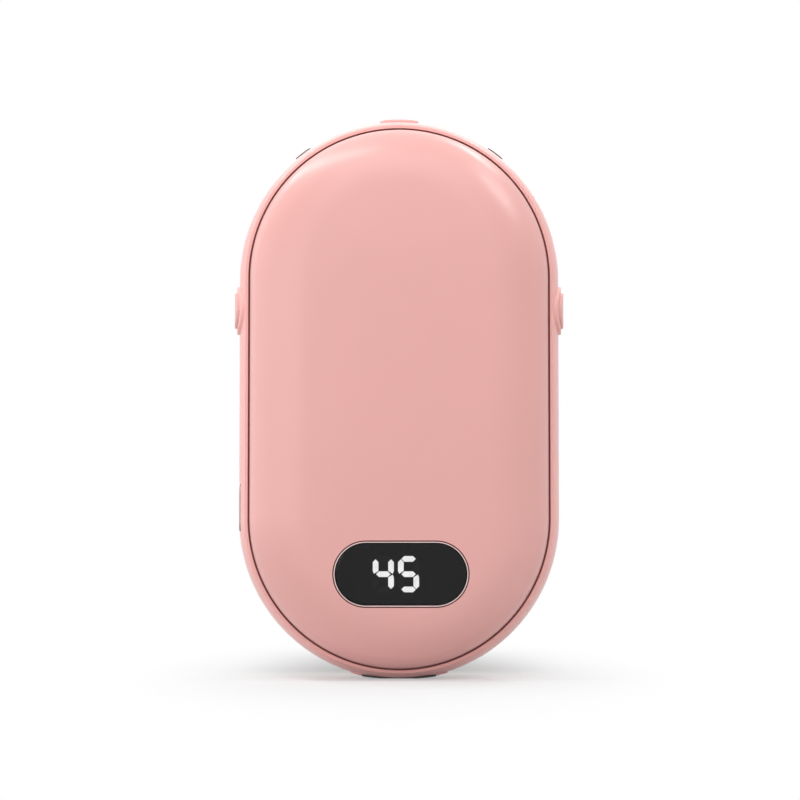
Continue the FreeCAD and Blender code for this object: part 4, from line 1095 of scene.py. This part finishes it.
# %% Lights, foot and socket
LIGHT_SPECULAR = 0.25
_, light_shader, _ = finish("smoked_light", (0.13, 0.108, 0.104), rough=0.45, swing=0.1, rough_swing=0.05)
feed(light_shader["Specular IOR Level"], LIGHT_SPECULAR)
finish("foot_rubber", (0.07, 0.066, 0.066), rough=0.7, swing=0.15, grain=2200.0, depth=0.02)
STEEL_TINT = (0.42, 0.3, 0.29)
finish("socket_steel", STEEL_TINT, 0.5, swing=0.04, rough_swing=0.04, grain=1500.0, depth=0.0002, metallic=1.0)
finish("contact_brass", (0.83, 0.62, 0.28), rough=0.25, metallic=1.0, depth=0.001)
finish("black_plastic", (0.02, 0.02, 0.021), rough=0.45, swing=0.12, depth=0.006)
print("finishes so far:", len(FINISHES))

# %% [markdown]
# Inside, nobody sees the pieces until the warmer is opened, but each still has its own finish: green boards,
# amber film circuits, a foil pouch, brushed heat plates, foam and bright screws.

# %% Inner finishes
FOIL = (0.68, 0.68, 0.69)
finish("white_plastic", (0.72, 0.71, 0.68), rough=0.5, swing=0.04)
finish("circuit_green", (0.02, 0.13, 0.05), rough=0.35, swing=0.25, mottle=400.0, grain=1200.0)
finish("flex_amber", (0.55, 0.24, 0.04), rough=0.3, swing=0.12, mottle=150.0)
finish("pouch_foil", FOIL, rough=0.35, swing=0.08, rough_swing=0.12, grain=600.0, depth=0.05, metallic=1.0)
finish("heat_aluminium", (0.75, 0.75, 0.76), rough=0.38, swing=0.06, rough_swing=0.12, metallic=1.0)
finish("foam_grey", (0.14, 0.14, 0.15), rough=0.9, swing=0.25, grain=1800.0, depth=0.15, mottle=700.0)
finish("screw_steel", (0.5, 0.5, 0.5), rough=0.3, swing=0.08, metallic=1.0)
finish("ceramic_tan", (0.42, 0.27, 0.14), rough=0.55, swing=0.12, mottle=500.0)
finish("led_white", (0.85, 0.85, 0.78), rough=0.3, mottle=500.0)
print("finishes in all:", len(FINISHES))

# %% [markdown]
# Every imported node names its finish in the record, and every new piece named its own when it was handed over,
# so one loop dresses them all.

# %% Give every node and piece its finish
slots = {part["node"]: part["material_slot"] for part in frame["record"]["subparts"]}
for name, node in frame["nodes"].items():
    dressed.append((node, slots[name]))
for piece, slot in dressed:
    piece.data.materials.clear()
    piece.data.materials.append(FINISHES[slot])
print("pieces and nodes with a finish:", len(dressed), "finishes:", len(FINISHES))

# %% [markdown]
# ## Studio
# The warmer stands on a plain pale floor in soft light. Near it the floor takes the lamps' light and shadow,
# lightened a little by painted white. Further out it fades to plain white for the camera, so no horizon shows.
# Behind the foot a soft shadow is painted into the floor's colour, where light from the front doesn't reach.

# %% Floor
FLOOR_SIZE = 3.0
FLOOR_DROP = 0.0001
FLOOR_ROUGH = 0.9
FLOOR_SEEN = (0.74, 0.76, 0.76)
FLOOR_BOUNCE = (0.6, 0.6, 0.6)
BLACK = (0, 0, 0)
SHADOW_WIDE = 0.055
SHADOW_LONG = 0.15
SHADOW_BEHIND = 0.02
SHADOW_CORE = 0.3
SHADOW_LIFT = 0.38
SHADE_DEPTH = 0.5
SHADE_HALF_WIDTH = 0.036
SHADE_DEEPEST = 0.028
SHADE_END = 0.12


def seen_rays(tree):
    """One for what the camera sees, also mirrored or through the window, and zero for other light."""
    path = tree.nodes.new("ShaderNodeLightPath").outputs
    mirrored = math_node("MAXIMUM", path["Is Camera Ray"], path["Is Glossy Ray"])
    return math_node("MAXIMUM", mirrored, path["Is Transmission Ray"])


bpy.ops.object.select_all(action="DESELECT")
bpy.ops.mesh.primitive_plane_add(size=FLOOR_SIZE, location=(0, 0, -FLOOR_DROP))
floor = bpy.context.object
floor.name = "studio_floor"

floor_material = bpy.data.materials.new("floor_white")
floor_material.use_nodes = True
tree = floor_material.node_tree
ground = tree.nodes["Principled BSDF"]
feed(ground.inputs["Roughness"], FLOOR_ROUGH)
feed(ground.inputs["Specular IOR Level"], 0.0)
seen = seen_rays(tree)
# How much shadow is painted into the floor behind the foot
floor_axes = object_axes(tree)
deepening = ramp(floor_axes["Y"], 0.0, SHADE_DEEPEST, 0.0, SHADE_DEPTH)
fading = ramp(floor_axes["Y"], SHADE_DEEPEST, SHADE_END, 1.0, 0.0)
narrowing = ramp(math_node("ABSOLUTE", floor_axes["X"]), 0.0, SHADE_HALF_WIDTH, 1.0, 0.0)
shaded = math_node("MULTIPLY", math_node("MULTIPLY", deepening, fading), narrowing)
seen_tint = mix_colours(shaded, FLOOR_SEEN, BLACK)
feed(ground.inputs["Base Color"], mix_colours(seen, FLOOR_BOUNCE, seen_tint))
# How much painted white the camera sees, from inside the lamps' shadow, which it lightens, to further out
stretch = {
    "Vector": object_place(tree),
    "Location": (0, -SHADOW_BEHIND / SHADOW_LONG, 0),
    "Scale": (1 / SHADOW_WIDE, 1 / SHADOW_LONG, 0),
}
stretched = add_node(tree, "ShaderNodeMapping", "Vector", stretch)
distance = add_node(tree, "ShaderNodeVectorMath", "Value", {0: stretched}, operation="LENGTH")
whiteness = math_node("MULTIPLY", seen, ramp(distance, SHADOW_CORE, 1.0, SHADOW_LIFT, 1.0))
unshaded = math_node("SUBTRACT", 1.0, shaded)
white = add_node(tree, "ShaderNodeEmission", "Emission", {"Strength": unshaded})
layers = {"Fac": whiteness, 1: ground.outputs["BSDF"], 2: white}
mixed = add_node(tree, "ShaderNodeMixShader", "Shader", layers)
feed(tree.nodes["Material Output"].inputs["Surface"], mixed)
floor.data.materials.append(floor_material)
print("floor:", floor.name, "side in metres:", FLOOR_SIZE)

# %% [markdown]
# The world is white to the camera and in reflections, and otherwise gives only a low, even light. Softboxes
# light the sides and the face. Narrow strips high up draw the soft crescents along the shoulders, because on a
# rounded edge a lamp shows as a line.

# %% World and lamps
AMBIENT = 0.365
WHITE = (1, 1, 1)
# Place in metres, width and height in metres, power in watts
SOFTBOXES = {
    "left_softbox": ((-0.41, -0.53, 0.08), 0.6, 0.35, 1.14),
    "left_side_softbox": ((-0.62, -0.1, 0.1), 0.4, 0.35, 0.45),
    "left_rim_softbox": ((-0.5, 0.25, 0.25), 0.25, 0.5, 0.28),
    "right_side_softbox": ((0.6, 0.1, 0.2), 0.2, 0.4, 0.08),
    "top_front_softbox": ((0, -0.36, 0.3), 0.4, 0.34, 0.42),
    "top_softbox": ((0, -0.22, 0.36), 0.3, 0.2, 0.18),
    "back_softbox": ((0, 0.6, 0.35), 0.5, 0.4, 0.6),
}
LEFT_BEND = (-0.241, -0.052, 0.487)
RIGHT_BEND = (0.264, 0.121, 0.459)
RIGHT_LOW_BEND = (0.273, -0.155, 0.442)
# Both ends and the width in metres, power in watts
STRIPS = {
    "left_strip": ((-0.295, 0.235, 0.38), LEFT_BEND, 0.05, 0.54),
    "left_cap_strip": (LEFT_BEND, (-0.082, -0.171, 0.515), 0.05, 0.38),
    "right_strip": ((0.148, 0.25, 0.459), RIGHT_BEND, 0.09, 0.38),
    "right_join_strip": (RIGHT_BEND, RIGHT_LOW_BEND, 0.05, 0.12),
    "right_cap_strip": (RIGHT_LOW_BEND, (0.377, -0.146, 0.346), 0.12, 0.42),
}
lamp_aim = Vector((0, 0, mid_height * MM))


def softbox(name, place_at, wide, tall, power):
    """A rectangular lamp that looks at the middle of the warmer."""
    lamp = bpy.data.lights.new(name, "AREA")
    lamp.shape = "RECTANGLE"
    lamp.size = wide
    lamp.size_y = tall
    lamp.energy = power
    holder = bpy.data.objects.new(name, lamp)
    bpy.context.scene.collection.objects.link(holder)
    holder.location = place_at
    holder.rotation_euler = (lamp_aim - Vector(place_at)).to_track_quat("-Z", "Y").to_euler()
    return holder


def strip_light(name, start, end, wide, power):
    """A long narrow lamp from one place to another that faces the warmer."""
    run = Vector(end) - Vector(start)
    centre = (Vector(start) + Vector(end)) / 2
    holder = softbox(name, centre, run.length, wide, power)
    back = (centre - lamp_aim).normalized()
    along = (run - back * run.dot(back)).normalized()
    holder.rotation_euler = Matrix((along, back.cross(along), back)).transposed().to_euler()


world = bpy.data.worlds.new("studio_world")
bpy.context.scene.world = world
world.use_nodes = True
background = world.node_tree.nodes["Background"].inputs
feed(background["Color"], WHITE)
feed(background["Strength"], ramp(seen_rays(world.node_tree), 0.0, 1.0, AMBIENT, 1.0))
for name, settings in SOFTBOXES.items():
    softbox(name, *settings)
for name, settings in STRIPS.items():
    strip_light(name, *settings)
print("softboxes:", len(SOFTBOXES), "strips:", len(STRIPS), "ambient light:", AMBIENT)

# %% [markdown]
# ## Camera
# The picture was taken from a little below the middle, with a long lens, so the outline hardly tapers. The
# distance and the tilt set where the lens stands, and its focal length then follows from the width of the view.

# %% Camera
CAMERA_DISTANCE = 0.450
CAMERA_RISE = math.radians(-3.1)
VIEW_WIDTH = 0.1505
SENSOR_WIDTH = 36
AIM = Vector((0.00017, 0, 0.05195))
camera_data = bpy.data.cameras.new("photo_camera")
camera = bpy.data.objects.new("photo_camera", camera_data)
bpy.context.scene.collection.objects.link(camera)
camera_data.sensor_width = SENSOR_WIDTH
camera_data.lens = SENSOR_WIDTH * CAMERA_DISTANCE / VIEW_WIDTH
camera.location = AIM + CAMERA_DISTANCE * Vector((0, -math.cos(CAMERA_RISE), math.sin(CAMERA_RISE)))
camera.rotation_euler = (AIM - camera.location).to_track_quat("-Z", "Y").to_euler()
bpy.context.scene.camera = camera
bpy.context.scene.view_settings.view_transform = "Standard"
print("focal length in mm:", round(camera_data.lens, 1), "distance in metres:", CAMERA_DISTANCE)
